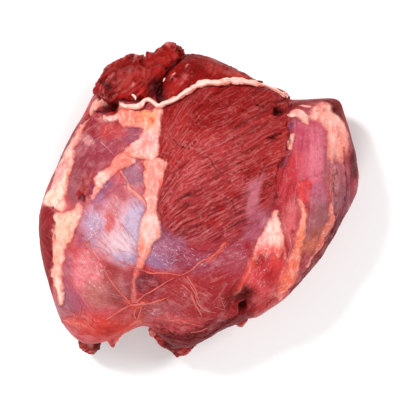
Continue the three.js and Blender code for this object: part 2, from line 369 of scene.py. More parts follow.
@dataclass
class RoastForm:
    """The smooth body: a superellipse from the middle to the widest line, and a roll under it."""

    rim_mm: float = 30.0
    dome_mm: float = 73.0
    dome_power: float = 2.5
    base_share: float = 0.76
    base_wave: float = 0.035
    soft_share: float = 0.62
    soft_degrees: float = 14.0
    table_degrees: float = 0.5
    middle: Pair = (-0.1, -3.0)  # the frame's origin among the numbers below
    guess_mm: float = 60.0  # the height at which a place's search starts, and how it goes on
    search_steps: int = 6
    search_share: float = 0.9
    muscles: tuple[Muscle, ...] = (
        Muscle((10, 26), (74, 68), 25, 15),
        Muscle((-58, -32), (54, 60), -10, 15),
        Muscle((-66, 34), (48, 30), 60, 8),
        Muscle((-74, -76), (38, 40), -35, 8),
        Muscle((0, -64), (60, 40), 0, 9),
        Muscle((80, 18), (30, 66), 4, 14),
        Muscle((56, -52), (30, 42), -35, 9),
    )
    outline: tuple[Pair, ...] = (
        (111, 0), (114, 8), (114.7, 20), (112.5, 33), (110, 42), (106.5, 54), (103, 65), (100, 70.5),
        (94, 72.2), (84, 72), (72, 71.3), (64, 72), (59, 77), (47, 82), (36, 88.5), (24, 94.5),
        (11, 100.5), (-3, 103.5), (-14, 103.5), (-32, 100), (-50, 95), (-64, 89), (-72, 80), (-77, 72),
        (-83, 60.5), (-90.3, 48), (-97, 35), (-102.6, 22), (-109.5, 7.5), (-114, -6), (-115, -18),
        (-114, -34), (-111, -50), (-106, -67), (-100, -85), (-93, -96), (-84, -103.5), (-73, -104),
        (-62, -101), (-54, -97), (-46, -93), (-39, -91.5), (-33, -94), (-27, -100), (-19, -105.5),
        (-10, -107), (-2, -105), (8, -99.5), (17, -94), (26, -90), (34, -86), (42, -84.5), (52, -78.5),
        (63, -70.5), (72, -60.5), (80.5, -50.5), (88, -42), (93, -34), (97.5, -27), (103.5, -14.5),
    )
    # Seams that run down under the widest line: direction and width in degrees, and depth.
    side_seams: tuple[Triple, ...] = (
        (-22, 16, 7), (22, 14, 4), (48, 14, 6), (92, 16, 6), (146, 18, 6),
        (187, 16, 5), (216, 14, 4), (246, 14, 7), (296, 14, 6),
    )
    angles: Array = field(init=False)
    sharp: Array = field(init=False)
    soft: Array = field(init=False)

    def __post_init__(self) -> None:
        """Tabulate the outline's radius by direction, as drawn and softened."""
        samples = curve_through(self.outline, 2880, closed=True)
        direction = np.arctan2(samples[:, 1], samples[:, 0])
        order = np.argsort(direction)
        self.angles = np.radians(np.arange(-180.0, 180.0, self.table_degrees))
        radius = np.linalg.norm(samples, axis=1)
        self.sharp = np.interp(self.angles, direction[order], radius[order], period=2 * np.pi)
        steps = int(self.soft_degrees / self.table_degrees)
        self.soft = np.mean([np.roll(self.sharp, k) for k in range(-steps, steps + 1)], axis=0)

    def radius(self, table: Array, angle: Array) -> Array:
        """Read a radius table at any angles."""
        return np.interp(angle, self.angles, table, period=2 * np.pi)

    def fall(self, share: Array) -> Array:
        """Give the share of the dome's height left at a plan share s, (1 - s^n)^(1/n)."""
        return np.clip(1.0 - share**self.dome_power, 0.0, None) ** (1.0 / self.dome_power)

    def share(self, x: Array, y: Array) -> Array:
        """Place points between the middle, 0, and the widest line, 1, softly near the middle.

        Args:
            x: Places across, in the outline's own numbers.
            y: Places up.

        Returns:
            The plan share of each.
        """
        angle, length = np.arctan2(y, x), np.hypot(x, y)
        sharp = length / self.radius(self.sharp, angle)
        soft = length / self.radius(self.soft, angle)
        mix = np.clip((sharp - self.soft_share) / (1.0 - self.soft_share), 0.0, 1.0) ** 2
        return soft + (sharp - soft) * mix

    def dome(self, x: Array, y: Array, most: float = 0.985) -> Array:
        """Work out the smooth height at places in plan, up to a plan share of most.

        Args:
            x: Places across, in the outline's own numbers.
            y: Places up.
            most: The plan share past which the height stays the same.

        Returns:
            The height in millimetres.
        """
        crown = self.dome_mm + sum(muscle.lift(x, y) for muscle in self.muscles)
        return self.rim_mm + (crown - self.rim_mm) * self.fall(np.minimum(self.share(x, y), most))

    def height(self, plan: Array) -> Array:
        """Give the smooth height at places in the frame."""
        return self.dome(plan[..., 0] + self.middle[0], plan[..., 1] + self.middle[1])

    def upper(self, share: Array, angle: Array) -> Array:
        """Find points of the upper side.

        Args:
            share: Plan share of each point, from 0 in the middle to 1 at the widest line.
            angle: Direction of each point from the middle.

        Returns:
            The points, in the frame.
        """
        reach = share * self.radius(self.sharp, angle)
        x, y = reach * np.cos(angle), reach * np.sin(angle)
        z = np.where(share >= 1.0, self.rim_mm, self.dome(x, y, most=1.0))
        return np.stack([x - self.middle[0], y - self.middle[1], z], axis=-1)

    def under(self, turn: Array, angle: Array) -> Array:
        """Find points of the roll under the widest line, a quarter ellipse pressed in at the seams.

        Args:
            turn: 0 at the widest line and 1 on the table.
            angle: Direction of each point from the middle.

        Returns:
            The points, in the frame.
        """
        s = turn * np.pi / 2
        pressed = np.zeros_like(angle)
        for direction, width, depth in self.side_seams:
            apart = np.angle(np.exp(1j * (angle - math.radians(direction))))
            pressed += depth * np.exp(-((apart / math.radians(width / 2)) ** 2))
        base = self.base_share + self.base_wave * np.sin(3 * angle + 1)
        rim = self.radius(self.sharp, angle)
        reach = rim * (base + (1 - base) * np.cos(s)) - pressed * np.sin(s)
        x, y = reach * np.cos(angle), reach * np.sin(angle)
        return np.stack([x - self.middle[0], y - self.middle[1], self.rim_mm * (1 - np.sin(s))], axis=-1)

    def normal(self, plan: Array, step: float = 0.6) -> Array:
        """Work out the upper side's unit normal from its height a step to each side.

        Args:
            plan: Places in the frame.
            step: The step in millimetres.

        Returns:
            The normal at each place.
        """
        east = self.height(plan + [step, 0.0]) - self.height(plan - [step, 0.0])
        north = self.height(plan + [0.0, step]) - self.height(plan - [0.0, step])
        normal = np.stack([-east, -north, np.full_like(east, 2 * step)], axis=-1)
        return normal / np.linalg.norm(normal, axis=-1, keepdims=True)

    def place(self, pixels: Array, lift: Array | float = 0.0) -> tuple[Array, Array]:
        """Find the points that stand off the smooth upper side and show at pixels.

        Starting under each pixel, the plan is moved by what the point's pixel is out by.

        Args:
            pixels: Pixels of the photograph.
            lift: How far to stand off the surface along its normal.

        Returns:
            The points, and the surface's normal at each.
        """
        plan = VIEW.plan_of(pixels, np.full(pixels.shape[:-1], self.guess_mm))
        away = np.broadcast_to(np.asarray(lift, dtype=float), pixels.shape[:-1])[..., None]
        for _ in range(self.search_steps):
            normal = self.normal(plan)
            points = np.concatenate([plan, self.height(plan)[..., None]], axis=-1) + normal * away
            plan = plan + self.search_share * VIEW.pixel_mm * (pixels - VIEW.pixel_of(points)) * FLIP
        return points, normal


FORM = RoastForm()


# ---- what lies where on the trimmed side --------------------------------------------------------


@dataclass(frozen=True)
class Band:
    """A band of fat or sinew: its middle line in pixels with half its width, and how it lies."""

    line: tuple[Triple, ...]
    rise_mm: float = 1.2  # how far it stands up
    ragged_px: float = 1.3  # how far its edge wanders
    soft_px: float = 1.3  # how far its edge fades
    cover: float = 1.0  # how much it hides what it lies on


@dataclass(frozen=True)
class Patch:
    """A patch of fat: its outline in pixels, which way it is streaked, and how it lies."""

    outline: tuple[Pair, ...]
    degrees: float = 90.0  # of its streaks, turning from the right towards the top
    rise_mm: float = 1.0
    ragged_px: float = 1.6
    soft_px: float = 2.0
    cover: float = 0.95


@dataclass(frozen=True)
class Zone:
    """A soft patch of colour: an ellipse in pixels, its turn, its strength and how far it fades."""

    at: Pair
    half: Pair
    turn: float
    colour: str
    strength: float = 0.9
    fade: float = 0.45


def zones_of(*rows: tuple) -> tuple[Zone, ...]:
    """Make zones of rows: x, y, two half sizes, turn and colour, and maybe strength and fade."""
    return tuple(Zone(row[:2], row[2:4], *row[4:]) for row in rows)


@dataclass(frozen=True)
class Crease:
    """A line pressed into the surface: its course in pixels, width, depth and how dark it is."""

    line: tuple[Pair, ...]
    width_px: float
    depth_mm: float
    # How dark the crease's painted shade is, and how pale its lip is as a painted highlight:
    dark: float = 0.5
    lip: float = 0.0  # how pale and raised its left edge is


@dataclass(frozen=True)
class Hollow:
    """A pit: its middle in pixels, its two radii in pixels, its depth, and how dark it is."""

    at: Pair
    radius_px: Pair
    depth_mm: float
    # How dark the pit's painted shade is:
    dark: float


FAT_PATCHES = (
    # The broad patch between the fat edge, the mauve window and the cut face, and its slanting arm.
    Patch(((121, 108), (140, 110), (161, 107), (160, 122), (159, 138), (157.5, 158), (150, 161), (144, 158),
          (136, 157), (128, 157), (124, 152), (130, 144), (137, 138), (143, 132), (141, 127), (132, 126),
          (124, 126), (119, 121), (118, 113)), 80, 0.7, 2.4, 3.2, 0.92),
    Patch(((128, 153), (136, 158), (131, 164), (121, 170), (113, 176), (105, 182), (99, 189), (93, 199),
          (91.5, 197), (95, 187), (94.5, 179), (100, 172.5), (109, 165), (117, 157), (123, 152)), 42, 1.4,
          1.4, 2.6, 0.92),
    # The long patch down the cut face's left edge.
    Patch(((165, 161), (163, 175), (161.5, 182), (159, 190), (157.5, 200), (157, 211), (160, 224),
          (161, 235), (154, 245), (147.5, 257), (142.5, 268), (137, 268), (137.5, 257), (138, 247),
          (139, 240), (140, 225), (144, 215), (147, 206), (143, 197), (144, 186), (143, 175), (144, 162),
          (150, 159)), 88, 1.1, 1.6, 2.4, 0.95),
    # The left edge's two ragged patches.
    Patch(((88, 120), (84, 128), (81, 136), (79, 142), (72, 148), (74, 158), (71, 168), (68, 176),
          (67, 187), (65, 198), (66, 209), (62, 213), (54, 206), (47.5, 207.5), (42, 205), (45, 193),
          (51, 185), (56, 176), (61, 164), (66, 150), (73, 139), (80, 126)), 62, 1.0, 2.6, 3.2, 0.9),
    Patch(((55, 212), (66, 212), (74, 209), (80, 204), (84, 210), (79, 222), (72.5, 236), (67.5, 247),
          (66, 257), (63, 265), (62, 275), (63, 290), (64, 303), (60, 307), (56, 293), (53, 280), (51, 273),
          (52.5, 265), (54, 257), (54, 247), (52.5, 236), (54, 222)), 82, 1.1, 3.2, 3.6),
    # The bits by the flap and under the torn hollow.
    Patch(((95, 97), (104, 99), (105, 103), (99, 107), (94, 112), (89, 116), (90, 107)), 55, 0.8, 2.4, 1.4),
    Patch(((102, 115), (108, 117), (115, 115), (121, 108), (122, 116), (117, 121), (109, 122.5),
          (103, 120)), 10, 1.4, 0.8, 1.8, 0.85),
    # The right lobe's lip, its outer patch, the small bit at the seam and the patch below the cut face.
    Patch(((287, 115), (292, 110.5), (299, 109.5), (306, 112), (310, 118), (309, 125), (303, 121.5),
          (297, 116.5), (292, 117)), 160, 1.4, 0.8, 1.0, 1.0),
    Patch(((313, 107), (322, 103.5), (330, 104), (332, 112), (340, 117), (346, 126), (349.5, 139),
          (349, 150), (346, 161), (341, 165), (336, 160), (331, 166), (328, 156), (326.5, 143), (325, 130),
          (320, 121), (312, 119), (309, 116), (312, 112)), 85, 0.7, 1.8, 5.0, 0.92),
    Patch(((290, 135), (294.5, 134), (294, 142), (291, 150), (287.5, 148), (288.5, 141)), 85, 0.9, 0.6, 0.8,
          1.0),
    Patch(((276.5, 211), (279, 221), (283.5, 236), (286.5, 248), (285, 257), (281, 250), (278, 260),
          (273, 252), (268, 259), (262, 254), (257, 260), (252, 257), (256, 248), (262, 233), (269, 219),
          (273, 213)), 78, 1.0, 2.6, 3.4, 0.92),
)
FAT_BANDS = (
    Band(((300, 106, 1.0), (306, 106.5, 1.5), (313, 107, 1.2)), 0.3, 0.8, 1.2, 0.8),
    Band(((282, 236, 1.6), (284, 248, 1.8), (285, 258, 1.2)), 0.4, 1.5, 2.0, 0.7),
    Band(((120, 171, 1.2), (127, 183, 1.6), (136, 192, 1.6), (146, 204, 1.8), (150, 208, 1.6)), 0.7, 0.8,
         1.4, 0.75),
    Band(((299, 200, 2.4), (303, 212, 3), (303.5, 224, 3.6), (301, 238, 4.6), (297, 252, 5.2),
         (293, 266, 6.0), (287, 281, 6), (279, 298, 3)), 0.7, 2.6, 4.0, 0.82),
    Band(((297, 250, 4), (308, 246, 5), (317, 238, 4)), 0.2, 2.6, 4.5, 0.45),
    Band(((329.5, 203, 1.6), (331, 216, 2.8), (327, 230, 3.2), (320, 243, 2.6), (312, 254, 2),
         (306, 264, 1.4)), 0.8, 1.6, 2.2, 0.8),
    Band(((346, 150, 1.2), (343.5, 166, 1.2), (344, 188, 0.8)), 0.2, 0.8, 2.2, 0.55),
    Band(((332, 160, 3.0), (335, 180, 3.0), (336, 200, 1.0)), 0.2, 2.4, 6.0, 0.4),
    Band(((141, 262, 2.6), (136.5, 273, 2.4), (134, 285, 2.2), (133, 300, 2.6)), 0.4, 1.2, 4.0, 0.62),
    Band(((119, 101, 1.2), (119.5, 107, 1.8), (121, 113, 2.2)), 0.8, 1.0, 1.6, 0.8),
    Band(((126, 186, 0.8), (134, 194, 0.9), (143, 203, 0.9)), 0.4, 0.8, 1.2, 0.6),
)
SINEW_BANDS = (
    Band(((331, 150, 0.9), (330.5, 175, 1.2), (330, 200, 1.4)), 0.5, 1.0, 1.8, 0.6),
    Band(((257, 250, 2.6), (251, 266, 3.0), (246, 278, 3.2), (240, 288, 2.6), (236, 294, 1.6)), 0.6, 1.8,
         3.0, 0.75),
    Band(((126, 302, 3), (134, 306, 5), (143, 304, 3)), 0.7, 1.6, 3.0, 0.8),
    Band(((62, 322, 2), (76, 322, 4), (90, 328, 4.5), (106, 333, 4), (122, 330, 3.5), (138, 322, 3)), 0.6,
         2.4, 4.0, 0.6),
    Band(((207, 262, 1.4), (214, 255, 1.8), (220, 249, 2.4), (225, 243, 1.6)), 0.6, 1.2, 1.6, 0.8),
    Band(((104, 134, 1.0), (112, 122, 1.4), (121, 116, 2.0)), 0.2, 1.4, 3.0, 0.45),
    Band(((144.5, 161, 0.9), (144.5, 176, 1.0), (145, 190, 0.8)), 0.1, 0.8, 1.4, 0.5),
    Band(((298, 150, 0.6), (300, 165, 0.8), (301, 178, 0.8)), 0.3, 0.8, 1.2, 0.5),
)

CUT_FACE = (
    (166, 107), (176, 102), (188, 96), (200, 90), (215, 89), (232, 86), (250, 85), (266, 88), (280, 92),
    (287, 98), (288, 112), (289, 128), (290, 142), (286, 157), (281, 170), (277, 186), (272, 202),
    (262, 215), (248, 228), (232, 240), (214, 247), (197, 245), (182, 241), (170, 234), (162, 224),
    (158, 208), (159, 190), (163, 176), (162, 166), (158, 158), (161, 140), (162, 122),
)
VEIL = ((264, 176, 2.5), (255, 188, 5.0), (251, 200, 6.5), (254, 212, 7.5), (263, 222, 8.0), (258, 236, 8.0))
CUT_PATCHES = (
    ((105, 103), (117, 101), (120, 110), (112, 116), (104, 112)),
    ((44, 206), (54, 212), (53, 235), (54, 255), (50, 270), (54, 290), (46, 297), (35, 288), (27, 270),
     (20, 246), (25, 224), (31, 209)),
    ((288, 106), (300, 100), (330, 97), (350, 98), (364, 110), (368, 128), (357, 142), (347, 128),
     (340, 112), (326, 103), (306, 104), (296, 109)),
    ((155, 328), (180, 334), (205, 332), (235, 314), (256, 308), (240, 334), (200, 356), (160, 354),
     (148, 338)),
)
CREASES = (
    Crease(((288, 100), (289, 112), (288, 126), (290, 140)), 2.4, 1.4, 0.5),
    Crease(((290, 140), (287, 155), (281, 168)), 2.8, 1.8, 0.55),
    Crease(((281, 168), (277.5, 184), (276, 204)), 1.4, 0.9, 0.45),
    Crease(((268, 101), (277, 101), (286, 99)), 1.8, 1.4, 0.35),
    Crease(((286, 118), (279, 122), (270, 128)), 1.8, 1.0, 0.35),
    Crease(((287, 128), (279, 130), (272, 133)), 1.4, 0.8, 0.35),
    Crease(((161, 112), (160.5, 132), (160, 150), (160, 159), (164, 164), (163.5, 178), (160.5, 190),
           (159, 207), (162, 223), (169, 233)), 1.4, 0.8, 0.3),
    Crease(((203, 157), (209, 160), (213, 166), (218, 172), (224, 176), (230, 178), (232, 186)), 1.5, 1.3,
           0.4, 0.25),
    Crease(((174, 139), (179, 145), (186, 148)), 1.5, 1.2, 0.4, 0.25),
    Crease(((230, 131), (238, 126), (246, 122)), 1.4, 0.9, 0.5),
    Crease(((232, 160), (246, 154), (256, 148), (264, 140)), 1.4, 0.9, 0.45),
    Crease(((225, 198), (232, 204), (235, 214)), 1.6, 0.9, 0.4),
    Crease(((84, 121), (92, 114.5), (101, 108), (110, 103)), 2.2, 1.6, 0.85),
    Crease(((100, 113), (104, 119), (111, 123), (118, 122)), 1.4, 0.8, 0.5),
    Crease(((80, 132), (84, 138), (93, 139.5)), 1.4, 0.6, 0.3),
    Crease(((92, 190), (96, 185)), 2.4, 0.8, 0.4),
    Crease(((258, 312), (268, 304), (278, 297), (288, 291)), 1.4, 0.7, 0.35),
    Crease(((152, 324), (168, 331), (186, 335), (206, 331)), 1.6, 1.2, 0.5),
    Crease(((160, 322), (178, 325), (198, 325), (218, 318)), 1.4, 0.8, 0.3),
    Crease(((269, 139), (275, 136.5), (281, 134)), 2.6, 1.6, 0.7),
    Crease(((262, 190), (266, 187), (272, 189)), 1.8, 0.8, 0.5),
    Crease(((98, 190), (102, 183)), 1.5, 0.8, 0.3),
    Crease(((127, 156.5), (134, 158), (141, 160), (148, 161)), 1.6, 0.7, 0.35),
    Crease(((334.5, 152), (335.5, 175), (335, 200), (333, 225), (328, 246)), 1.6, 0.9, 0.55),
    Crease(((345, 150), (348, 175), (347, 200), (341, 222)), 2.4, 1.2, 0.45),
    Crease(((339, 232), (327, 250), (315, 264), (303, 280), (290, 293)), 2.0, 1.4, 0.5),
    Crease(((334, 226), (322, 248), (311, 262), (299, 278)), 1.6, 0.8, 0.35),
    Crease(((251, 252), (247, 268), (240, 282), (234, 294)), 2.4, 0.9, 0.2),
    Crease(((148, 290), (160, 286), (172, 280)), 2.4, 0.8, 0.2),
    Crease(((96, 118), (88, 115), (100, 112), (107, 107)), 1.6, 1.2, 0.6),
    Crease(((54, 206), (54, 222), (55, 240), (52, 262), (52, 284)), 1.8, 1.0, 0.5),
    Crease(((155, 322), (170, 328), (186, 331), (203, 330)), 2.0, 0.9, 0.35),
    Crease(((205, 338), (220, 325), (236, 316)), 2.2, 1.0, 0.4),
    Crease(((165, 336), (180, 340), (196, 338)), 1.8, 0.8, 0.35),
)
HOLLOWS = (
    Hollow((109, 107), (10, 6), 6.5, 0.95),
    Hollow((102, 111), (4, 3), 2.5, 0.6),
    Hollow((279.5, 109), (6, 3.4), 4.0, 1.0),
    Hollow((277, 113), (3.6, 3), 2.4, 0.9),
    Hollow((258, 102.5), (3.2, 1.8), 1.8, 0.9),
    Hollow((263, 104), (2.6, 1.6), 1.6, 0.85),
    Hollow((245, 309.5), (4.6, 3.6), 6.0, 1.0),
    Hollow((239, 301), (13, 9), 3.4, 0.1),
    Hollow((246, 291), (3.4, 7), 1.2, 0.4),
    Hollow((84.3, 200), (2.4, 3.6), 1.6, 0.2),
    Hollow((294, 233), (2.4, 3.6), 1.0, 0.1),
    Hollow((274, 138.5), (4.0, 2.0), 1.4, 0.7),
    Hollow((98, 98), (2.2, 2.4), 1.6, 0.9),
    Hollow((321, 108.5), (1.6, 1.6), 0.5, 0.45),
    Hollow((326, 111), (1.4, 1.8), 0.5, 0.4),
    Hollow((317, 112), (1.6, 1.2), 0.4, 0.35),
    Hollow((148, 283), (10, 8), 1.2, 0.1),
    Hollow((149, 110), (1.6, 1.2), 0.8, 0.45),
)

SKIN_ZONES = zones_of(
    (100, 250, 90, 120, 0, "#bd4f55", 1, 0.3), (215, 290, 110, 60, 20, "#a82d31"),
    (320, 190, 45, 110, 0, "#a83a46"), (225, 160, 75, 90, 0, "#8f1f20", 0.8),
    (110, 128, 30, 15, 12, "#a8343a", 0.95), (86, 110, 3.5, 14, 33, "#b02c2a"),
    (94, 124, 15, 6, 18, "#86202a", 0.85, 0.3), (104, 120, 7, 2.5, 15, "#d67a78", 0.6, 0.6),
    (92, 150, 22, 22, 0, "#8f3440", 0.95), (90, 131, 9, 5, 18, "#8c2026", 0.85),
    (88, 141, 10, 4, 20, "#d88888", 0.7, 0.6), (108, 146, 14, 14, 30, "#8f3646", 0.8),
    (131, 134, 12, 8, -42, "#8c4458", 0.9, 0.4), (112, 130, 13, 8, 10, "#ae383a", 0.8),
    (84, 166, 14, 12, -20, "#84323c", 0.7), (76, 188, 9, 22, -8, "#8a4850", 0.85),
    (87, 187, 8, 13, 22, "#8c1216", 1, 0.3), (107, 194, 15, 16, 35, "#7f4466", 1, 0.25),
    (101, 205, 8, 9, 30, "#9a6488", 0.8, 0.4), (86, 191, 5, 8, 24, "#8c1014", 0.95, 0.4),
    (84.3, 200, 3, 4.2, 0, "#5a0e12", 1, 0.2), (134, 173, 9, 14, -12, "#9a6072", 1, 0.25),
    (125, 196, 17, 12, 15, "#b8585c"), (119, 185, 6, 14, -20, "#a85060", 0.7),
    # The pale blue-white zones from 120, 236 to 92, 240 on the left bulge are the silverskin's own pale
    # colour, with the sheen where it faces the light painted in.
    (112, 228, 34, 26, 0, "#c87078", 0.95), (120, 236, 26, 30, -12, "#cc9aa4", 0.95, 0.35),
    (134, 222, 9, 24, 6, "#b4a4bc", 0.9, 0.6), (121, 244, 11, 12, -20, "#d8bcc2", 0.8, 0.6),
    (127, 257, 13, 8, 20, "#a890ae", 0.85, 0.6), (93, 222, 10, 12, 0, "#ac8eaa", 0.9, 0.6),
    (92, 240, 8, 9, 0, "#a87c98", 0.7, 0.6), (109, 220, 5, 11, 5, "#c2423c", 0.85),
    (114, 212, 8, 5, 30, "#b04c50", 0.7), (74, 256, 7, 26, 16, "#8f4a66", 0.85),
    (80, 260, 9, 24, -22, "#c44a4a"), (94, 276, 20, 26, -25, "#c45a5e", 0.95),
    (77, 274, 6, 13, -20, "#e27a82", 0.8, 0.6), (88, 266, 9, 18, -25, "#d8787c", 0.8, 0.6),
    (113, 276, 12, 16, -20, "#94383a"), (98, 294, 16, 14, 0, "#b06660", 0.85),
    (120, 296, 14, 12, 0, "#90403e", 0.85), (73, 300, 10, 20, -25, "#a04c64", 0.8),
    (62, 312, 9, 22, 22, "#8e5a64", 0.7), (80, 318, 10, 8, 0, "#b85050", 0.7),
    (104, 326, 34, 11, 8, "#d03a32", 0.95), (90, 338, 18, 5, 12, "#c43a34", 0.8),
    (128, 318, 20, 8, -12, "#b8403a", 0.8), (149, 285, 17, 10, 8, "#6a2434", 1, 0.3),
    (127, 284, 7, 14, 0, "#8e3a40", 0.7), (168, 246, 20, 22, 20, "#985672", 0.95, 0.4),
    (160, 262, 16, 8, 8, "#8f6688", 0.9, 0.5), (190, 260, 24, 12, 8, "#84324a"),
    (215, 262, 30, 14, -18, "#8e3448", 0.85), (190, 298, 48, 26, 5, "#962a2c"),
    (165, 312, 18, 9, 5, "#9c444c", 0.8), (226, 290, 22, 22, 20, "#962428", 0.8),
    # The zones at 204, 338 and, below, 214, 332 darken the bottom edge, which faces away from the light:
    # painted shade.
    (204, 338, 44, 12, -20, "#5e1218", 0.95), (178, 320, 24, 6, 10, "#bc4848", 0.8),
    (214, 332, 20, 8, -24, "#7c1e20", 0.8), (238, 256, 18, 20, 30, "#9a3a48", 0.85),
    (255, 200, 12, 28, 16, "#bc6674", 0.95), (258, 224, 12, 18, 28, "#a8566a", 0.85),
    (268, 280, 22, 28, 28, "#cc4044", 0.95, 0.35), (276, 262, 7, 12, 0, "#d03830", 0.7),
    (258, 258, 10, 6, 20, "#a01018", 0.8), (266, 306, 20, 7, -32, "#b02828", 0.85),
    # These two zones darken in and around the pit near the bottom: painted shade.
    (238, 299, 18, 12, -20, "#7e1614", 0.95, 0.5), (243, 298, 8, 9, -20, "#560a0a", 0.9, 0.6),
    (241, 305.5, 4.5, 1.8, -8, "#b02020"), (309, 150, 20, 36, 2, "#c25466", 0.95, 0.25),
    (316, 160, 8, 24, 0, "#d87082", 0.7), (300, 140, 6, 16, 10, "#a83850", 0.6),
    (288, 182, 10, 30, 8, "#b23038", 0.95, 0.35), (305, 189, 7.5, 12, 4, "#cc3c3e", 1, 0.12),
    (284, 161, 2, 8, 24, "#6a3c5c", 0.8, 0.6), (292, 125, 2.6, 5, 24, "#6a4470", 0.9, 0.6),
    (318, 196, 9, 14, 20, "#b8647a"), (318, 222, 12, 24, 10, "#9c5c60", 0.95),
    (316, 242, 11, 14, 30, "#a85840", 0.8), (290, 224, 8, 22, 0, "#cc5e60", 0.85),
    (327, 170, 4, 36, 0, "#ac525c", 0.8), (337, 176, 8, 30, 2, "#b06068", 0.9, 0.6),
    # The zone at 354, 164 darkens the right edge where it turns away from the light: painted shade.
    (340, 200, 6, 20, 8, "#8a5660", 0.8, 0.6), (354, 164, 4.5, 19, 4, "#58080e", 0.95, 0.4),
    # The zones at 346, 212, 336, 232, 312, 265 and 316, 270 darken the lower right edge: its own darker,
    # dried red, deepened with painted shade.
    (348, 190, 4, 16, 6, "#94505a", 0.9, 0.4), (346, 212, 5, 22, 20, "#7c3a4a", 0.8),
    (336, 232, 6, 24, 24, "#661e28"), (312, 265, 28, 6, -52, "#7c2c30"),
    (316, 270, 28, 4, -52, "#661a22", 0.95), (338, 108, 14, 9, 35, "#500a0e", 1),
    # The zone at 351, 128 darkens the right edge where it turns away from the light: painted shade.
    (351, 128, 4, 24, -12, "#600e14", 0.95), (60, 158, 5, 40, 25, "#6c222c", 0.85),
)
FAT_ZONES = zones_of(
    (132, 116, 13, 11, 0, "#e8705c"), (148, 114, 9, 10, 0, "#f08c58", 0.85),
    (151, 119, 2, 3, -30, "#c84818", 0.8, 0.6), (147, 129, 3, 4, 20, "#f0904a", 0.7, 0.6),
    (128, 153.5, 2, 3, 0, "#d04c10", 0.8, 0.6), (146, 142, 14, 12, 0, "#f2a8a4"),
    (143, 145, 2.5, 12, 15, "#e0665a", 0.6, 0.6), (146, 172, 3, 16, 0, "#ea7864", 0.7, 0.6),
    (159, 172, 4, 12, 0, "#ee9084", 0.7), (152, 186, 6, 20, 0, "#e8807a", 0.7),
    (150, 228, 9, 18, 0, "#f0b6ae", 0.95), (145, 252, 7, 10, 0, "#ea7c66", 0.85),
    (140, 262, 7, 8, 0, "#e8847c"), (159, 188, 2.5, 9, 0, "#d84e4a", 0.8),
    (134, 286, 7, 20, 5, "#e07064", 0.95), (117, 162, 16, 10, -42, "#ea7c70", 0.95),
    (101, 180, 8, 6, -42, "#f4b8ac", 0.95), (80, 138, 8, 18, -20, "#ea8c7c"),
    (60, 184, 14, 28, 20, "#f8cbb8"), (61, 172, 4, 15, 25, "#d08484", 0.9, 0.6),
    (72, 150, 5, 10, 25, "#f8b4a6", 0.8), (69, 176, 3, 18, 10, "#e87a66", 0.8, 0.6),
    (66, 226, 15, 16, 20, "#f4b49c"), (58, 252, 10, 18, 0, "#f0ac94", 0.8), (58, 290, 9, 16, 0, "#f8cdb8"),
    (96, 106, 8, 12, 0, "#f0988a"), (112, 119, 9, 5, 0, "#e4b4ae"), (320, 108, 12, 6, 0, "#f0a094"),
    (300, 114, 12, 7, 0, "#f8bcb0"), (337, 130, 11, 24, 0, "#f6b0a2", 0.95),
    (343, 146, 6, 14, 0, "#f08a7a", 0.8), (302, 215, 5, 14, 0, "#f09a80"), (300, 240, 9, 14, 10, "#ea7c54"),
    (288, 278, 9, 22, 28, "#ea6244", 0.95), (312, 246, 8, 6, -30, "#c8602c"),
    (326, 228, 7, 26, 22, "#d46a58"), (344, 172, 4, 20, 0, "#d8604e"), (335, 180, 5, 24, 0, "#c87c78"),
    (272, 232, 9, 14, 10, "#f8c4b8", 0.95), (262, 244, 8, 12, 30, "#f09490", 0.8),
    (270, 253, 16, 6, 0, "#d84a48"),
)
LEAN_ZONES = zones_of(
    (225, 106, 70, 20, -10, "#8a1614"), (175, 140, 16, 34, 12, "#b02a26", 0.75),
    (215, 165, 50, 24, -30, "#ae3a3e", 0.7), (262, 140, 28, 30, 0, "#9a2625", 0.7),
    (200, 205, 44, 36, 0, "#ac363a", 0.7), (245, 205, 18, 26, 15, "#a43e46", 0.7),
    (269, 196, 8, 15, 5, "#a22c2e", 0.95, 0.4), (210, 240, 40, 12, -10, "#96323c", 0.7),
    (47, 245, 10, 50, 0, "#84242a", 0.8), (320, 104, 30, 8, 0, "#5c1414", 0.8),
    # This zone darkens the lean along the bottom edge, which faces away from the light: painted shade.
    (200, 336, 60, 20, -15, "#64141a", 0.95),
)
SKIN_COLOUR = "#9c3036"
FAT_COLOUR = "#ee9c8c"
THIN_FAT_COLOUR = "#dc6a60"
LEAN_COLOUR = "#9a1e1c"
BLOOD_SPOTS = (
    (211, 221, 9, 4), (235, 195, 6, 5), (262, 262, 7, 9), (270, 276, 8, 10), (248, 246, 5, 4),
    (110, 331, 12, 4), (222, 208, 4, 3), (294, 233, 2.4, 3.6), (286, 246, 4, 9), (240, 232, 5, 2),
)
# Middles of the membranes, and which way their threads run.
MEMBRANES = (
    (108, 135, 30), (85, 165, 60), (118, 225, -55), (85, 275, -52), (60, 185, 62), (130, 300, -10),
    (170, 250, -25), (190, 300, -32), (225, 265, 20), (210, 335, -12), (235, 300, 50), (268, 275, 68),
    (258, 205, 70), (312, 150, 88), (310, 225, 84), (338, 190, 88), (325, 255, 55),
)
# Glossy spots: x, y, half sizes and most. They raise the wet coat, and there pale folds and glint dots are
# painted as highlights.
GLOSS_SPOTS = (
    (92, 226, 11, 20, 1.0), (166, 250, 22, 16, 0.9), (90, 268, 15, 24, 0.9), (262, 270, 9, 24, 1.0),
    (246, 250, 14, 14, 0.5), (118, 210, 8, 14, 0.5), (135, 245, 14, 14, 0.6), (78, 322, 14, 8, 0.8),
    (150, 310, 12, 7, 0.55), (332, 185, 3, 26, 0.9), (88, 140, 9, 5, 0.8), (205, 262, 24, 8, 0.5),
    (175, 318, 14, 8, 0.5), (312, 150, 10, 24, 0.25), (178, 338, 18, 8, 0.2), (185, 295, 10, 8, 0.5),
)


def linear_colour(code: str) -> Array:
    """Turn an sRGB hex colour into linear red, green and blue."""
    parts = np.array([int(code[k : k + 2], 16) for k in (1, 3, 5)]) / 255.0
    return np.where(parts <= 0.04045, parts / 12.92, ((parts + 0.055) / 1.055) ** 2.4)


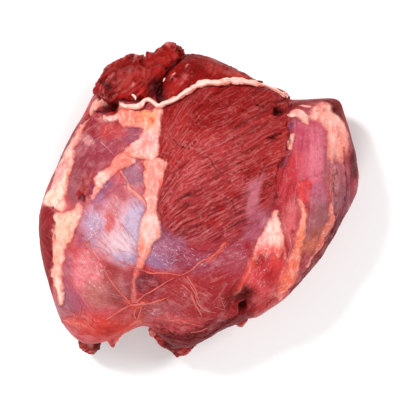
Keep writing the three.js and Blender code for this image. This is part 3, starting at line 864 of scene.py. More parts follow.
def painted(pixels: Array, base: str, zones: tuple[Zone, ...]) -> Array:
    """Paint soft ellipses over a base colour, one after the other.

    Args:
        pixels: Where each point shows.
        base: The colour where no ellipse lies.
        zones: The ellipses.

    Returns:
        Linear colours.
    """
    colour = np.broadcast_to(linear_colour(base), pixels.shape[:-1] + (3,)).copy()
    for zone in zones:
        along, across = turned(pixels[..., 0] - zone.at[0], pixels[..., 1] - zone.at[1], zone.turn)
        reach = np.hypot(along / zone.half[0], across / zone.half[1])
        weight = zone.strength * smoothstep(1.0 + zone.fade, 1.0 - zone.fade, reach)
        colour += (linear_colour(zone.colour) - colour) * weight[..., None]
    return colour


# The dark mask holds painted shade in creases, hollows, gaps and fibre and fold valleys, and dark streaks on
# the ribbons; the pale mask after it holds painted highlights on ridges, lips and grit, and pale streaks on
# the ribbons; gloss marks where the coat is heavier and where pale folds and glints are painted as
# highlights.
MASKS = ("fat", "sinew", "lean", "blood", "dark", "sheath", "gloss")
COLOURS = ("skin_tint", "fat_tint", "lean_tint")


@dataclass
class Paint:
    """What the meat's material reads at every point of a piece: three colours, masks and the grain."""

    skin_tint: Array
    fat_tint: Array
    lean_tint: Array
    fat: Array
    sinew: Array
    lean: Array
    blood: Array
    dark: Array
    sheath: Array
    gloss: Array
    grain: Array

    def write(self, mesh: bpy.types.Mesh) -> None:
        """Store the paint on a mesh as point attributes.

        Args:
            mesh: The mesh, with as many points as the paint has.
        """
        for name in MASKS:
            values = np.clip(getattr(self, name), 0.0, 1.0).astype(np.float32).ravel()
            mesh.attributes.new(name, "FLOAT", "POINT").data.foreach_set("value", values)
        for name in COLOURS:
            colour = np.concatenate([getattr(self, name).reshape(-1, 3), np.ones((self.fat.size, 1))], axis=1)
            layer = mesh.attributes.new(name, "FLOAT_COLOR", "POINT")
            layer.data.foreach_set("color", colour.astype(np.float32).ravel())
        layer = mesh.attributes.new("grain", "FLOAT_VECTOR", "POINT")
        layer.data.foreach_set("vector", self.grain.astype(np.float32).ravel())
        normals = np.empty(3 * len(mesh.vertices), dtype=np.float32)
        mesh.vertex_normals.foreach_get("vector", normals)
        mesh.attributes.new("upright", "FLOAT", "POINT").data.foreach_set("value", normals[2::3].copy())

    def at_least(self, **masks: Array) -> None:
        """Raise masks to values, where they are lower."""
        for name, least in masks.items():
            setattr(self, name, np.maximum(getattr(self, name), least))

    @classmethod
    def plain(cls, shape: tuple[int, ...], skin_tint: str = SKIN_COLOUR, lean_tint: str = LEAN_COLOUR,
              **masks: float) -> "Paint":
        """Paint points evenly.

        Args:
            shape: The points' own array shape.
            skin_tint: The membrane's colour.
            lean_tint: The cut lean's colour.
            **masks: The value of any mask that isn't 0.

        Returns:
            The paint, with the grain still 0.
        """
        codes = (skin_tint, FAT_COLOUR, lean_tint)
        tints = [np.broadcast_to(linear_colour(code), shape + (3,)).copy() for code in codes]
        flat = [np.full(shape, masks.get(name, 0.0)) for name in MASKS]
        return cls(*tints, *flat, np.zeros(shape + (3,)))

    @classmethod
    def joined(cls, parts: list["Paint"]) -> "Paint":
        """Put the paint of several runs of points one after the other.

        Args:
            parts: The paint of each run.

        Returns:
            The paint of them all, in one row.
        """
        triple = COLOURS + ("grain",)
        merged = {name: np.concatenate([getattr(part, name).reshape((-1, 3) if name in triple else -1)
                                        for part in parts]) for name in MASKS + triple}
        return cls(**merged)


@dataclass
class TrimmedSide:
    """Relief and paint of the body, from the bands, zones, creases and hollows above.

    The noises here are in millimetres, and those with two sizes lie across and along the grain.
    """

    # How places move before what lies on them is looked up, in pixels: edges and colour zones
    # wander, and the membrane's threads fray the zones.
    wander: Noise = Noise(11.0, 5, 3)
    warp_px: float = 2.4
    drift: Noise = Noise(17.0, 11, 5, 0.6)
    drift_px: float = 5.0
    thread: Noise = Noise((1.8, 13.0), 13)
    thread_px: float = 2.2
    tremor: Noise = Noise(3.4, 18)
    tremor_px: float = 2.0
    membrane_px: float = 6.0  # how far the limits between membranes wander
    ragged: Noise = Noise(7.0, 40, 4, 0.65)  # of every edge, in pixels
    # The side walls: the heights where they start and where they are steepest, how far places
    # sway on them, and how they move outwards, by push d^2 / (d + ease_mm) for a drop of d.
    shoulder_mm: float = 44.0
    wall_mm: float = 26.0
    sway: Noise = Noise(16.0, 7)
    sway_px: float = 15.0
    push: float = 0.8
    ease_mm: float = 8.0
    low_mm: Pair = (31.0, 19.0)  # the heights between which the made-up lean and fat set in
    wall_lean: Noise = Noise(34.0, 71, 3)
    wall_fat: Noise = Noise(26.0, 75, 5, 0.62)
    wall_fat_mm: float = 0.9
    # The relief all over, and where it is wrinkled and where creases break off.
    swell: Noise = Noise(26.0, 3, 3)
    swell_mm: float = 0.7
    lumps: Noise = Noise(5.0, 9, 3)
    lumps_mm: float = 0.16
    wrinkle: Noise = Noise((2.2, 9.0), 15)
    wrinkle_mm: float = 0.22
    wrinkled: Noise = Noise(30.0, 17)
    gaps: Noise = Noise(5.0, 20, 3)
    # The cut face's fibres: how steeply they rise at its left edge, and over the rest.
    steep: float = 3.2
    shallow: float = 0.66
    bend: Pair = (205.0, 160.0)  # the columns between which they get steep
    lean_over: float = 0.3  # how far the bend moves right for each pixel further up than the pivot
    pivot_px: float = 150.0
    table_px: tuple[float, float, int] = (-100.0, 600.0, 701)  # the columns that slopes are tabled at
    narrowing: float = 0.84  # a fibre's width for each pixel up
    run: Pair = (0.77, 0.64)  # the direction in which their length is counted
    # Their bundles, strands and finest strands, which are drawn coarser than real ones so that they
    # show, and the broad bands, the dark lines and the grit over them.
    waver: Noise = Noise(9.0, 211)
    waver_mm: float = 0.9
    bundle: Noise = Noise((2.0, 28.0), 21, 1)
    bundle_mm: float = 0.80
    strand: Noise = Noise((1.4, 8.0), 25)
    strand_mm: float = 0.40
    hair: Noise = Noise((0.8, 6.0), 27)
    hair_mm: float = 0.20
    broad: Noise = Noise((7.0, 45.0), 33)
    broad_mm: float = 0.35
    line: Noise = Noise((4.5, 40.0), 37, 1)
    line_mm: float = 0.5
    grit: Noise = Noise(1.5, 31)
    grit_mm: float = 0.20
    torn: tuple[Pair, Pair] = ((193, 144), (13, 6))  # the torn spot's middle and half sizes
    torn_mm: float = 0.8
    base_mm: float = 0.3  # how far the fibres as a whole stand back
    patch_px: float = 3.0  # how far the cut face's own mesh reaches past its edge
    patch_mm: float = 2.2  # how far the body stands back under it

    def __post_init__(self) -> None:
        """Draw the cut face's outline."""
        self.face = curve_through(CUT_FACE, 160, closed=True)

    def skin_grain(self, pixels: Array, wander: Array) -> Array:
        """Give each place the straight grain of the membrane whose middle is nearest.

        Args:
            pixels: Pixels of the photograph.
            wander: How far each place is moved before its nearest middle is looked for.

        Returns:
            Across, along and 0 in millimetres, last.
        """
        grain = np.zeros(pixels.shape[:-1] + (3,))
        least = np.full(pixels.shape[:-1] + (1,), np.inf)
        for x, y, degrees in MEMBRANES:
            offset = pixels - np.array([x, y])
            distance = np.linalg.norm(offset + self.membrane_px * wander, axis=-1, keepdims=True)
            grain = np.where(distance < least, self.straight(offset, degrees), grain)
            least = np.minimum(least, distance)
        return grain

    def straight(self, offset: Array, degrees: float) -> Array:
        """Turn an offset in pixels into across, along and 0 in millimetres, for a straight grain."""
        along, across = turned(offset[..., 0], offset[..., 1], -degrees)
        return np.stack([across, along, 0 * along], axis=-1) * VIEW.pixel_mm

    def grain(self, pixels: Array) -> Array:
        """Work out the fibre coordinates.

        The fibres are the curves y = c + f(x + k y), where f's slope goes from steep to shallow.
        Across counts c, and along is the distance in a fixed direction.

        Args:
            pixels: Pixels of the photograph.

        Returns:
            Across, along and 0 in millimetres, last.
        """
        x = np.linspace(*self.table_px)
        slope = self.shallow + (self.steep - self.shallow) * smoothstep(*self.bend, x)
        rise = np.concatenate([[0.0], np.cumsum((slope[1:] + slope[:-1]) / 2)])
        lifted = np.interp(pixels[..., 0] + self.lean_over * (pixels[..., 1] - self.pivot_px), x, rise)
        across = (-pixels[..., 1] - lifted) * self.narrowing
        along = pixels[..., 0] * self.run[0] - pixels[..., 1] * self.run[1]
        return np.stack([across, along, np.zeros_like(across)], axis=-1) * VIEW.pixel_mm

    def fibres(self, pixels: Array, points: Array, paint: Paint) -> Array:
        """Lay bundles of fibres, as rounded ridges between sharp valleys where a stretched noise is 0.

        Args:
            pixels: Pixels of the points.
            points: The points in millimetres.
            paint: The paint, whose dark mask gets painted shade in the valleys, and whose pale mask gets
                painted highlights on the ridges.

        Returns:
            The relief in millimetres.
        """
        across = paint.grain[..., 0] + self.waver_mm * self.waver.at(points)
        fibre = np.stack([across, paint.grain[..., 1]], axis=-1)
        # They stand out less near the top edge, and in a smooth window at the right.
        rough = 0.35 + 0.65 * smoothstep(105.0, 165.0, pixels[..., 1] - 0.30 * (pixels[..., 0] - 200.0))
        window = np.exp(-(((pixels[..., 0] - 270) / 9) ** 2) - ((pixels[..., 1] - 196) / 17) ** 4)
        rough = rough * (1.0 - 0.8 * window)
        wide, narrow, hair = self.bundle.at(fibre), self.strand.at(fibre), self.hair.at(fibre)
        grit, broad = self.grit.at(points), self.broad.at(fibre)
        valley = np.exp(-((wide / 0.09) ** 2)) * smoothstep(-0.5, 0.3, broad)
        lines = 0.40 * np.exp(-((self.line.at(fibre) / 0.05) ** 2))
        face = smoothstep(-1.0, 5.0, inside_outline(pixels, self.face))
        shown = paint.lean * face
        # Painted shade darkens the valleys between bundles, the thin furrow lines and the troughs of the
        # finest strands, and painted highlights pale the ridges, the grit and the crests of the finest
        # strands.
        paint.at_least(dark=shown * (0.62 * valley * (0.45 + 0.55 * rough) + 0.8 * lines))
        paint.at_least(dark=0.40 * shown * smoothstep(0.15, 0.55, -hair) * (0.3 + 0.7 * rough))
        ridge = smoothstep(0.18, 0.75, np.abs(wide)) * smoothstep(-0.2, 0.6, narrow + 0.5 * broad)
        bright = 0.5 * ridge + 0.45 * smoothstep(0.2, 0.7, grit) + 0.55 * smoothstep(0.15, 0.55, hair)
        paint.at_least(sheath=shown * (0.25 + 0.75 * rough) * np.minimum(bright, 0.85))
        # The torn spot's grit is paled as painted highlights on its crumbs.
        torn = soft_spot(pixels, *self.torn)
        paint.at_least(sheath=torn * smoothstep(-0.1, 0.5, grit))
        relief = self.bundle_mm * np.abs(wide) ** 0.6 + self.strand_mm * narrow + self.hair_mm * hair
        relief = rough * (relief + self.grit_mm * grit * rough) + self.broad_mm * broad
        relief = relief - self.base_mm - self.line_mm * lines + self.torn_mm * torn * grit
        return relief * face * (0.35 + 0.65 * paint.lean)

    def down_walls(self, pixels: Array, points: Array) -> Array:
        """Move places on outwards as the side walls drop, so that nothing is drawn out downwards.

        Args:
            pixels: Pixels of the points.
            points: The points in millimetres.

        Returns:
            The pixels to look up instead.
        """
        plan = points[..., :2]
        outward = plan / np.maximum(np.linalg.norm(plan, axis=-1, keepdims=True), 1e-6)
        drop = np.maximum(self.shoulder_mm - points[..., 2:], 0.0)
        return pixels + outward * FLIP * self.push * drop**2 / (drop + self.ease_mm) / VIEW.pixel_mm

    def lay_bands(self, warped: Array, pixels: Array, ragged: Array, paint: Paint) -> Array:
        """Lay the fat and the sinew, each over those before it.

        Args:
            warped: The places, moved as edges wander.
            pixels: The same places unmoved.
            ragged: How far edges are out at each place.
            paint: The paint, whose fat and sinew masks and grain are changed.

        Returns:
            How far it all stands up, in millimetres.
        """
        relief = np.zeros(pixels.shape[:-1])
        for band in FAT_PATCHES + FAT_BANDS + SINEW_BANDS:
            if isinstance(band, Patch):
                depth = depth_inside(warped, band.outline)
                course = self.straight(pixels, band.degrees)
            else:
                near = to_course(warped, curve_through(band.line, 4 * len(band.line)), 26.0)
                depth = near.value - near.distance
                course = np.stack([near.distance * near.side, near.along, 0 * near.along], axis=-1)
                course = course * VIEW.pixel_mm
            depth = depth + band.ragged_px * ragged
            cover = band.cover * smoothstep(-band.soft_px, band.soft_px, depth)
            covered = paint.sinew if band in SINEW_BANDS else paint.fat
            relief = relief + band.rise_mm * smoothstep(-1.0, 3.0, depth) * (1.0 - covered)
            top = cover > np.maximum(np.maximum(paint.fat, paint.sinew), 0.25)
            paint.grain = np.where(top[..., None], course, paint.grain)
            np.maximum(covered, cover, out=covered)
        return relief

    def press_in(self, fine: Array, broken: Array, paint: Paint) -> Array:
        """Press in the creases and the hollows.

        Args:
            fine: The places, moved as fine edges wander.
            broken: How much of the creases is left at each place.
            paint: The paint, whose dark mask gets painted shade in the creases and hollows, and whose pale
                mask gets a painted highlight on the creases' lips.

        Returns:
            The relief in millimetres, which is negative in them.
        """
        relief = np.zeros(fine.shape[:-1])
        # Painted shade darkens the creases and the hollows, and a painted highlight pales a crease's lip.
        for crease in CREASES:
            near = to_course(fine, curve_through(crease.line, 6 * len(crease.line)), 9.0)
            groove = np.exp(-((near.distance / (crease.width_px / 2)) ** 2)) * broken
            lip = crease.lip * np.exp(-(((near.distance * near.side + crease.width_px) / 1.2) ** 2)) * broken
            relief = relief - crease.depth_mm * groove + lip
            paint.at_least(dark=crease.dark * groove, sheath=lip)
        for hollow in HOLLOWS:
            off = (fine - np.array(hollow.at)) / np.array(hollow.radius_px)
            pit = np.exp(-((off**2).sum(axis=-1) ** 1.5))
            relief = relief - hollow.depth_mm * pit
            paint.at_least(dark=hollow.dark * pit)
        return relief

    def study(self, pixels: Array, points: Array) -> tuple[Array, Paint]:
        """Work out the relief and the paint at every point, without the cut face's fibres.

        Args:
            pixels: The pixel of each point; past the outline they go on as if the side lay flat.
            points: The points in millimetres.

        Returns:
            How far each point stands out along its normal, and its paint.
        """
        height = points[..., 2]
        wander = self.wander.pair(points)
        low = smoothstep(*self.low_mm, height)
        wall = smoothstep(self.shoulder_mm, self.wall_mm, height)[..., None]
        pixels = self.down_walls(pixels, points)
        sway = self.sway_px * wall * self.sway.pair(points)
        warped = pixels + self.warp_px * wander + sway
        ragged = self.ragged.at(pixels)
        skin_grain = self.skin_grain(pixels + sway, wander)
        thread = self.thread.at(skin_grain[..., :2])
        drifted = pixels + self.drift_px * self.drift.pair(points) + self.thread_px * thread[..., None] + sway
        paint = Paint.plain(pixels.shape[:-1])
        paint.skin_tint = painted(drifted, SKIN_COLOUR, SKIN_ZONES)
        paint.fat_tint = painted(warped, FAT_COLOUR, FAT_ZONES)
        paint.lean_tint = painted(drifted, LEAN_COLOUR, LEAN_ZONES)
        inside = inside_outline(warped, self.face)
        paint.grain = np.where((inside > -self.patch_px)[..., None], self.grain(pixels), skin_grain)
        wrinkle = smoothstep(-0.1, 0.6, self.wrinkled.at(points)) * self.wrinkle.at(paint.grain[..., :2])
        relief = self.swell_mm * self.swell.at(points) + self.lumps_mm * self.lumps.at(points)
        relief = relief + self.wrinkle_mm * wrinkle + self.lay_bands(warped, pixels, ragged, paint)

        thin = 0.6 * smoothstep(0.95, 0.45, paint.fat)
        paint.fat_tint += (linear_colour(THIN_FAT_COLOUR) - paint.fat_tint) * thin[..., None]
        faded = smoothstep(150.0, 250.0, pixels[..., 1] + 0.5 * (pixels[..., 0] - 200.0))
        film = to_course(drifted, curve_through(VEIL, 40), 20.0)
        veil = smoothstep(1.6, 0.3, film.distance / np.maximum(film.value, 1e-3))
        paint.lean = smoothstep(-1.0, 1.0, inside / (1.2 + 8.0 * faded)) * (1.0 - 0.9 * veil)
        for patch in CUT_PATCHES:
            paint.at_least(lean=smoothstep(-2.0, 2.0, depth_inside(warped, patch) + ragged))
        paint.at_least(lean=smoothstep(-0.1, 0.5, self.wall_lean.at(points)) * low)
        wall_fat = smoothstep(0.33, 0.49, self.wall_fat.at(points) + 0.10 * thread) * low
        paint.lean = paint.lean * (1.0 - paint.fat)
        paint.at_least(fat=0.8 * wall_fat)

        fine = warped + self.tremor_px * self.tremor.pair(points)
        broken = 1.0 - 0.75 * smoothstep(-0.1, 0.5, self.gaps.at(points))
        relief = relief + self.wall_fat_mm * wall_fat + self.press_in(fine, broken, paint)
        for x, y, across, up in BLOOD_SPOTS:
            paint.at_least(blood=0.75 * soft_spot(warped, (x, y), (across, up)))
        for x, y, across, up, most in GLOSS_SPOTS:
            paint.at_least(gloss=most * soft_spot(drifted, (x, y), (across, up)))
        paint.gloss = paint.gloss * smoothstep(30.0, 62.0, height)
        return relief, paint


# ---- meshes -------------------------------------------------------------------------------------


def normals_of(grid: Array, wrap_first: bool = False) -> Array:
    """Work out the normals of a grid of points, as the cross product of its two differences.

    Args:
        grid: Points, with two grid directions first.
        wrap_first: Whether the first direction comes back round to its start.

    Returns:
        Unit normals, of the first direction's difference crossed with the second's.
    """
    if wrap_first:
        first = np.roll(grid, -1, axis=0) - np.roll(grid, 1, axis=0)
    else:
        first = np.gradient(grid, axis=0)
    normal = np.cross(first, np.gradient(grid, axis=1))
    return normal / np.maximum(np.linalg.norm(normal, axis=-1, keepdims=True), 1e-9)


def welded(points: Array, faces: list[Array], paint: Paint) -> tuple[Array, list[Array], Paint]:
    """Make one point of those in the same place, so that a piece's ends are closed.

    A quad with two corners in one place becomes a triangle, and a face with less goes.

    Args:
        points: Points in millimetres.
        faces: Arrays of faces, each with three or four corners a row.
        paint: The paint of every point.

    Returns:
        The points that stay, the faces between them, and their paint.
    """
    _, first, merged = np.unique(np.round(points, 5), axis=0, return_index=True, return_inverse=True)
    kept = []
    for block in faces:
        block = merged.ravel()[block]
        double = block == np.roll(block, -1, axis=1)
        kept.append(block[~double.any(axis=1)])
        if block.shape[1] == 4:
            once = double.sum(axis=1) == 1
            kept.append(block[once][~double[once]].reshape(-1, 3))
    flat = vars(Paint.joined([paint]))
    return points[first], kept, Paint(**{name: value[first] for name, value in flat.items()})


def make_object(
    name: str, points: Array, faces: list[Array], paint: Paint, material: bpy.types.Material
) -> bpy.types.Object:
    """Make a finished piece from points and faces.

    Args:
        name: The piece's name.
        points: Points in millimetres.
        faces: Arrays of faces, each with three or four corners a row.
        paint: The paint of every point.
        material: The piece's finish.

    Returns:
        The object, riding on the roast's body and standing for its solid.
    """
    points, faces, paint = welded(points, faces, paint)
    corners = np.concatenate([block.ravel() for block in faces])
    sizes = np.concatenate([np.full(len(block), block.shape[1]) for block in faces])
    mesh = bpy.data.meshes.new(name)
    mesh.vertices.add(len(points))
    mesh.vertices.foreach_set("co", (points * MM).astype(np.float32).ravel())
    mesh.loops.add(len(corners))
    mesh.loops.foreach_set("vertex_index", corners.astype(np.int32))
    mesh.polygons.add(len(sizes))
    mesh.polygons.foreach_set("loop_start", np.concatenate([[0], np.cumsum(sizes)[:-1]]).astype(np.int32))
    mesh.polygons.foreach_set("use_smooth", np.ones(len(sizes), dtype=bool))
    mesh.update(calc_edges=True)
    mesh.validate()
    paint.write(mesh)
    mesh.materials.append(material)
    piece = bpy.data.objects.new(name, mesh)
    bpy.context.scene.collection.objects.link(piece)
    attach(piece, "root")
    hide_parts(NODE)
    LOG.info("%s: %d points, %d triangles", name, len(points), len(corners) - 2 * len(sizes))
    return piece


def grid_faces(rows: int, columns: int, wrap_rows: bool = False) -> Array:
    """List a grid's quads, with points numbered row by row.

    Args:
        rows: How many rows of points there are.
        columns: How many points a row has.
        wrap_rows: Whether the last row joins the first.

    Returns:
        Quads whose normal is the row direction crossed with the column direction.
    """
    row = np.arange(rows if wrap_rows else rows - 1)[:, None]
    column = np.arange(columns - 1)[None, :]
    below, above = row * columns + column, ((row + 1) % rows) * columns + column
    return np.stack([below, above, above + 1, below + 1], axis=-1).reshape(-1, 4)


@dataclass
class Disc:
    """A square grid spread over a disc, so that its cells keep much the same area all over."""

    cells: int
    sine_part: float = 0.7

    def spread(self) -> tuple[Array, Array]:
        """Give the share of the radius and the angle of each grid point.

        Returns:
            The shares, from 0 in the middle to 1 at the edge, and the angles.
        """
        b, a = np.meshgrid(*[np.linspace(-1.0, 1.0, self.cells + 1)] * 2, indexing="ij")
        across = np.abs(a) > np.abs(b)
        safe_a, safe_b = np.where(a == 0, 1e-12, a), np.where(b == 0, 1e-12, b)
        angle = np.where(
            across,
            np.pi / 4 * (b / safe_a) + np.where(a < 0, np.pi, 0.0),
            np.pi / 2 - np.pi / 4 * (a / safe_b) + np.where(b < 0, np.pi, 0.0),
        )
        radius = np.maximum(np.abs(a), np.abs(b))
        share = (1 - self.sine_part) * radius + self.sine_part * np.sin(radius * np.pi / 2)
        return np.where(radius > 1.0 - 1e-9, 1.0, share), angle

    def edge(self) -> Array:
        """List the grid's edge points anticlockwise.

        Returns:
            Their numbers in the grid.
        """
        n, k = self.cells, np.arange(self.cells)
        rows = np.concatenate([0 * k, k, 0 * k + n, n - k])
        columns = np.concatenate([k, 0 * k + n, n - k, 0 * k])
        return rows * (n + 1) + columns

    def closed(self, top: Array, rings: Array) -> tuple[Array, list[Array]]:
        """Close the disc with rings that run down from its edge to a middle point.

        Args:
            top: The disc's points.
            rings: The rings under it, the outermost first, each point under its edge point.

        Returns:
            All points, the middle last, and the faces.
        """
        edge = self.edge()
        middle = rings[-1].mean(axis=0, keepdims=True)
        points = np.concatenate([top.reshape(-1, 3), rings.reshape(-1, 3), middle])
        below = top.shape[0] * top.shape[1] + np.arange(rings.shape[0] * len(edge)).reshape(-1, len(edge))
        index = np.concatenate([edge[None], below])
        ahead = np.roll(index, -1, axis=1)
        walls = np.stack([index[:-1], index[1:], ahead[1:], ahead[:-1]], axis=-1).reshape(-1, 4)
        fan = np.stack([index[-1], np.full(len(edge), len(points) - 1), ahead[-1]], axis=-1)
        return points, [grid_faces(self.cells + 1, self.cells + 1)[:, ::-1], walls, fan]


@dataclass
class Body:
    """The body of the roast: a disc over the upper side, rings under its edge, and a flat base."""

    disc: Disc = field(default_factory=lambda: Disc(250))
    under_rings: int = 30
    base_rings: int = 5
    side: TrimmedSide = field(default_factory=TrimmedSide)

    def upper(self) -> tuple[Array, Paint]:
        """Work out the upper side.

        Returns:
            Its points with their relief, and their paint.
        """
        share, angle = self.disc.spread()
        smooth = FORM.upper(share, angle)
        # Rows run up the picture and columns across it, so rows crossed with columns points down.
        out = np.stack([np.cos(angle), np.sin(angle), np.zeros_like(angle)], axis=-1)
        normal = np.where((share >= 1.0)[..., None], out, -normals_of(smooth))
        pixels = VIEW.pixel_of(smooth)
        relief, paint = self.side.study(pixels, smooth)
        under_patch = inside_outline(pixels, self.side.face) + self.side.patch_px
        relief = relief - self.side.patch_mm * smoothstep(1.0, 7.0, under_patch)
        return smooth + normal * relief[..., None], paint

    def under(self, angle: Array) -> tuple[Array, Paint]:
        """Work out the roll under the widest line.

        Args:
            angle: The direction of each edge point.

        Returns:
            Its rings with their relief, and their paint.
        """
        turn = np.linspace(0.0, 1.0, self.under_rings + 1)[:, None] + 0.0 * angle
        around = np.broadcast_to(angle, turn.shape)
        smooth = FORM.under(turn, around)
        steps = np.linalg.norm(np.diff(smooth, axis=0), axis=-1)
        travelled = np.concatenate([np.zeros((1, len(angle))), np.cumsum(steps, axis=0)])
        outward = np.stack([np.cos(around), -np.sin(around)], axis=-1)
        pixels = VIEW.pixel_of(smooth[:1]) + outward * travelled[..., None] / VIEW.pixel_mm
        relief, paint = self.side.study(pixels, smooth)
        onward = np.roll(smooth, -1, axis=1) - np.roll(smooth, 1, axis=1)
        normal = np.cross(np.gradient(smooth, axis=0), onward)
        normal /= np.maximum(np.linalg.norm(normal, axis=-1, keepdims=True), 1e-9)
        points = smooth + normal * (relief * smoothstep(1.0, 0.75, turn))[..., None]
        points[..., 2] = np.maximum(points[..., 2], 0.0)
        points[-1, :, 2] = 0.0
        return points[1:], Paint(**{name: value[1:] for name, value in vars(paint).items()})

    def make(self, material: bpy.types.Material) -> bpy.types.Object:
        """Build the body.

        Args:
            material: The meat's finish.

        Returns:
            The finished piece.
        """
        top, top_paint = self.upper()
        under, under_paint = self.under(self.disc.spread()[1].ravel()[self.disc.edge()])
        shrink = np.linspace(1.0, 0.0, self.base_rings + 1)[1:-1, None, None]
        base = under[-1] * shrink
        base_paint = self.side.study(VIEW.pixel_of(base), base)[1]
        middle_paint = Paint.plain((1,))
        for paint in (base_paint, middle_paint):
            paint.fat, paint.sinew, paint.dark = 0 * paint.fat, 0 * paint.fat, 0 * paint.fat
        base_paint.lean = smoothstep(-0.5, 0.1, fractal(base / 30.0, 91, 3))
        points, faces = self.disc.closed(top, np.concatenate([under, base]))
        paint = Paint.joined([top_paint, under_paint, base_paint, middle_paint])
        return make_object("roast_body", points, faces, paint, material)


@dataclass
class CutFace:
    """The cut face's own fine mesh, a thin shell that lies in the body's surface."""

    middle_px: Pair = (221.0, 165.0)
    disc: Disc = field(default_factory=lambda: Disc(300, 0.45))
    sink_mm: float = 0.7
    thick_mm: float = 4.0
    under_shares: Triple = (0.99, 0.7, 0.35)  # the size of each ring under it, as a share of its edge
    side: TrimmedSide = field(default_factory=TrimmedSide)

    def make(self, material: bpy.types.Material) -> bpy.types.Object:
        """Build the cut face.

        Args:
            material: The meat's finish.

        Returns:
            The finished piece.
        """
        share, angle = self.disc.spread()
        middle = np.array(self.middle_px)
        offset = (self.side.face - middle) * FLIP
        direction, length = np.arctan2(offset[:, 1], offset[:, 0]), np.linalg.norm(offset, axis=1)
        order = np.argsort(direction)
        reach = np.interp(angle, direction[order], length[order], period=2 * np.pi) + self.side.patch_px
        spread = np.stack([np.cos(angle), -np.sin(angle)], axis=-1)
        pixels = middle + (share * reach)[..., None] * spread
        smooth, normal = FORM.place(pixels)
        relief, paint = self.side.study(pixels, smooth)
        relief = relief + self.side.fibres(pixels, smooth, paint)
        relief = relief - self.sink_mm * smoothstep(2.5, 0.0, (1.0 - share) * reach)
        top = smooth + normal * relief[..., None]
        shrink = np.array(self.under_shares)[:, None, None]
        edge = pixels.reshape(-1, 2)[self.disc.edge()]
        under, _ = FORM.place(middle + (edge - middle) * shrink, -self.thick_mm)
        points, faces = self.disc.closed(top, under)
        rest = Paint.plain((len(points) - share.size,), lean=1.0)
        return make_object("cut_face", points, faces, Paint.joined([paint, rest]), material)


# ---- slabs and bands ----------------------------------------------------------------------------


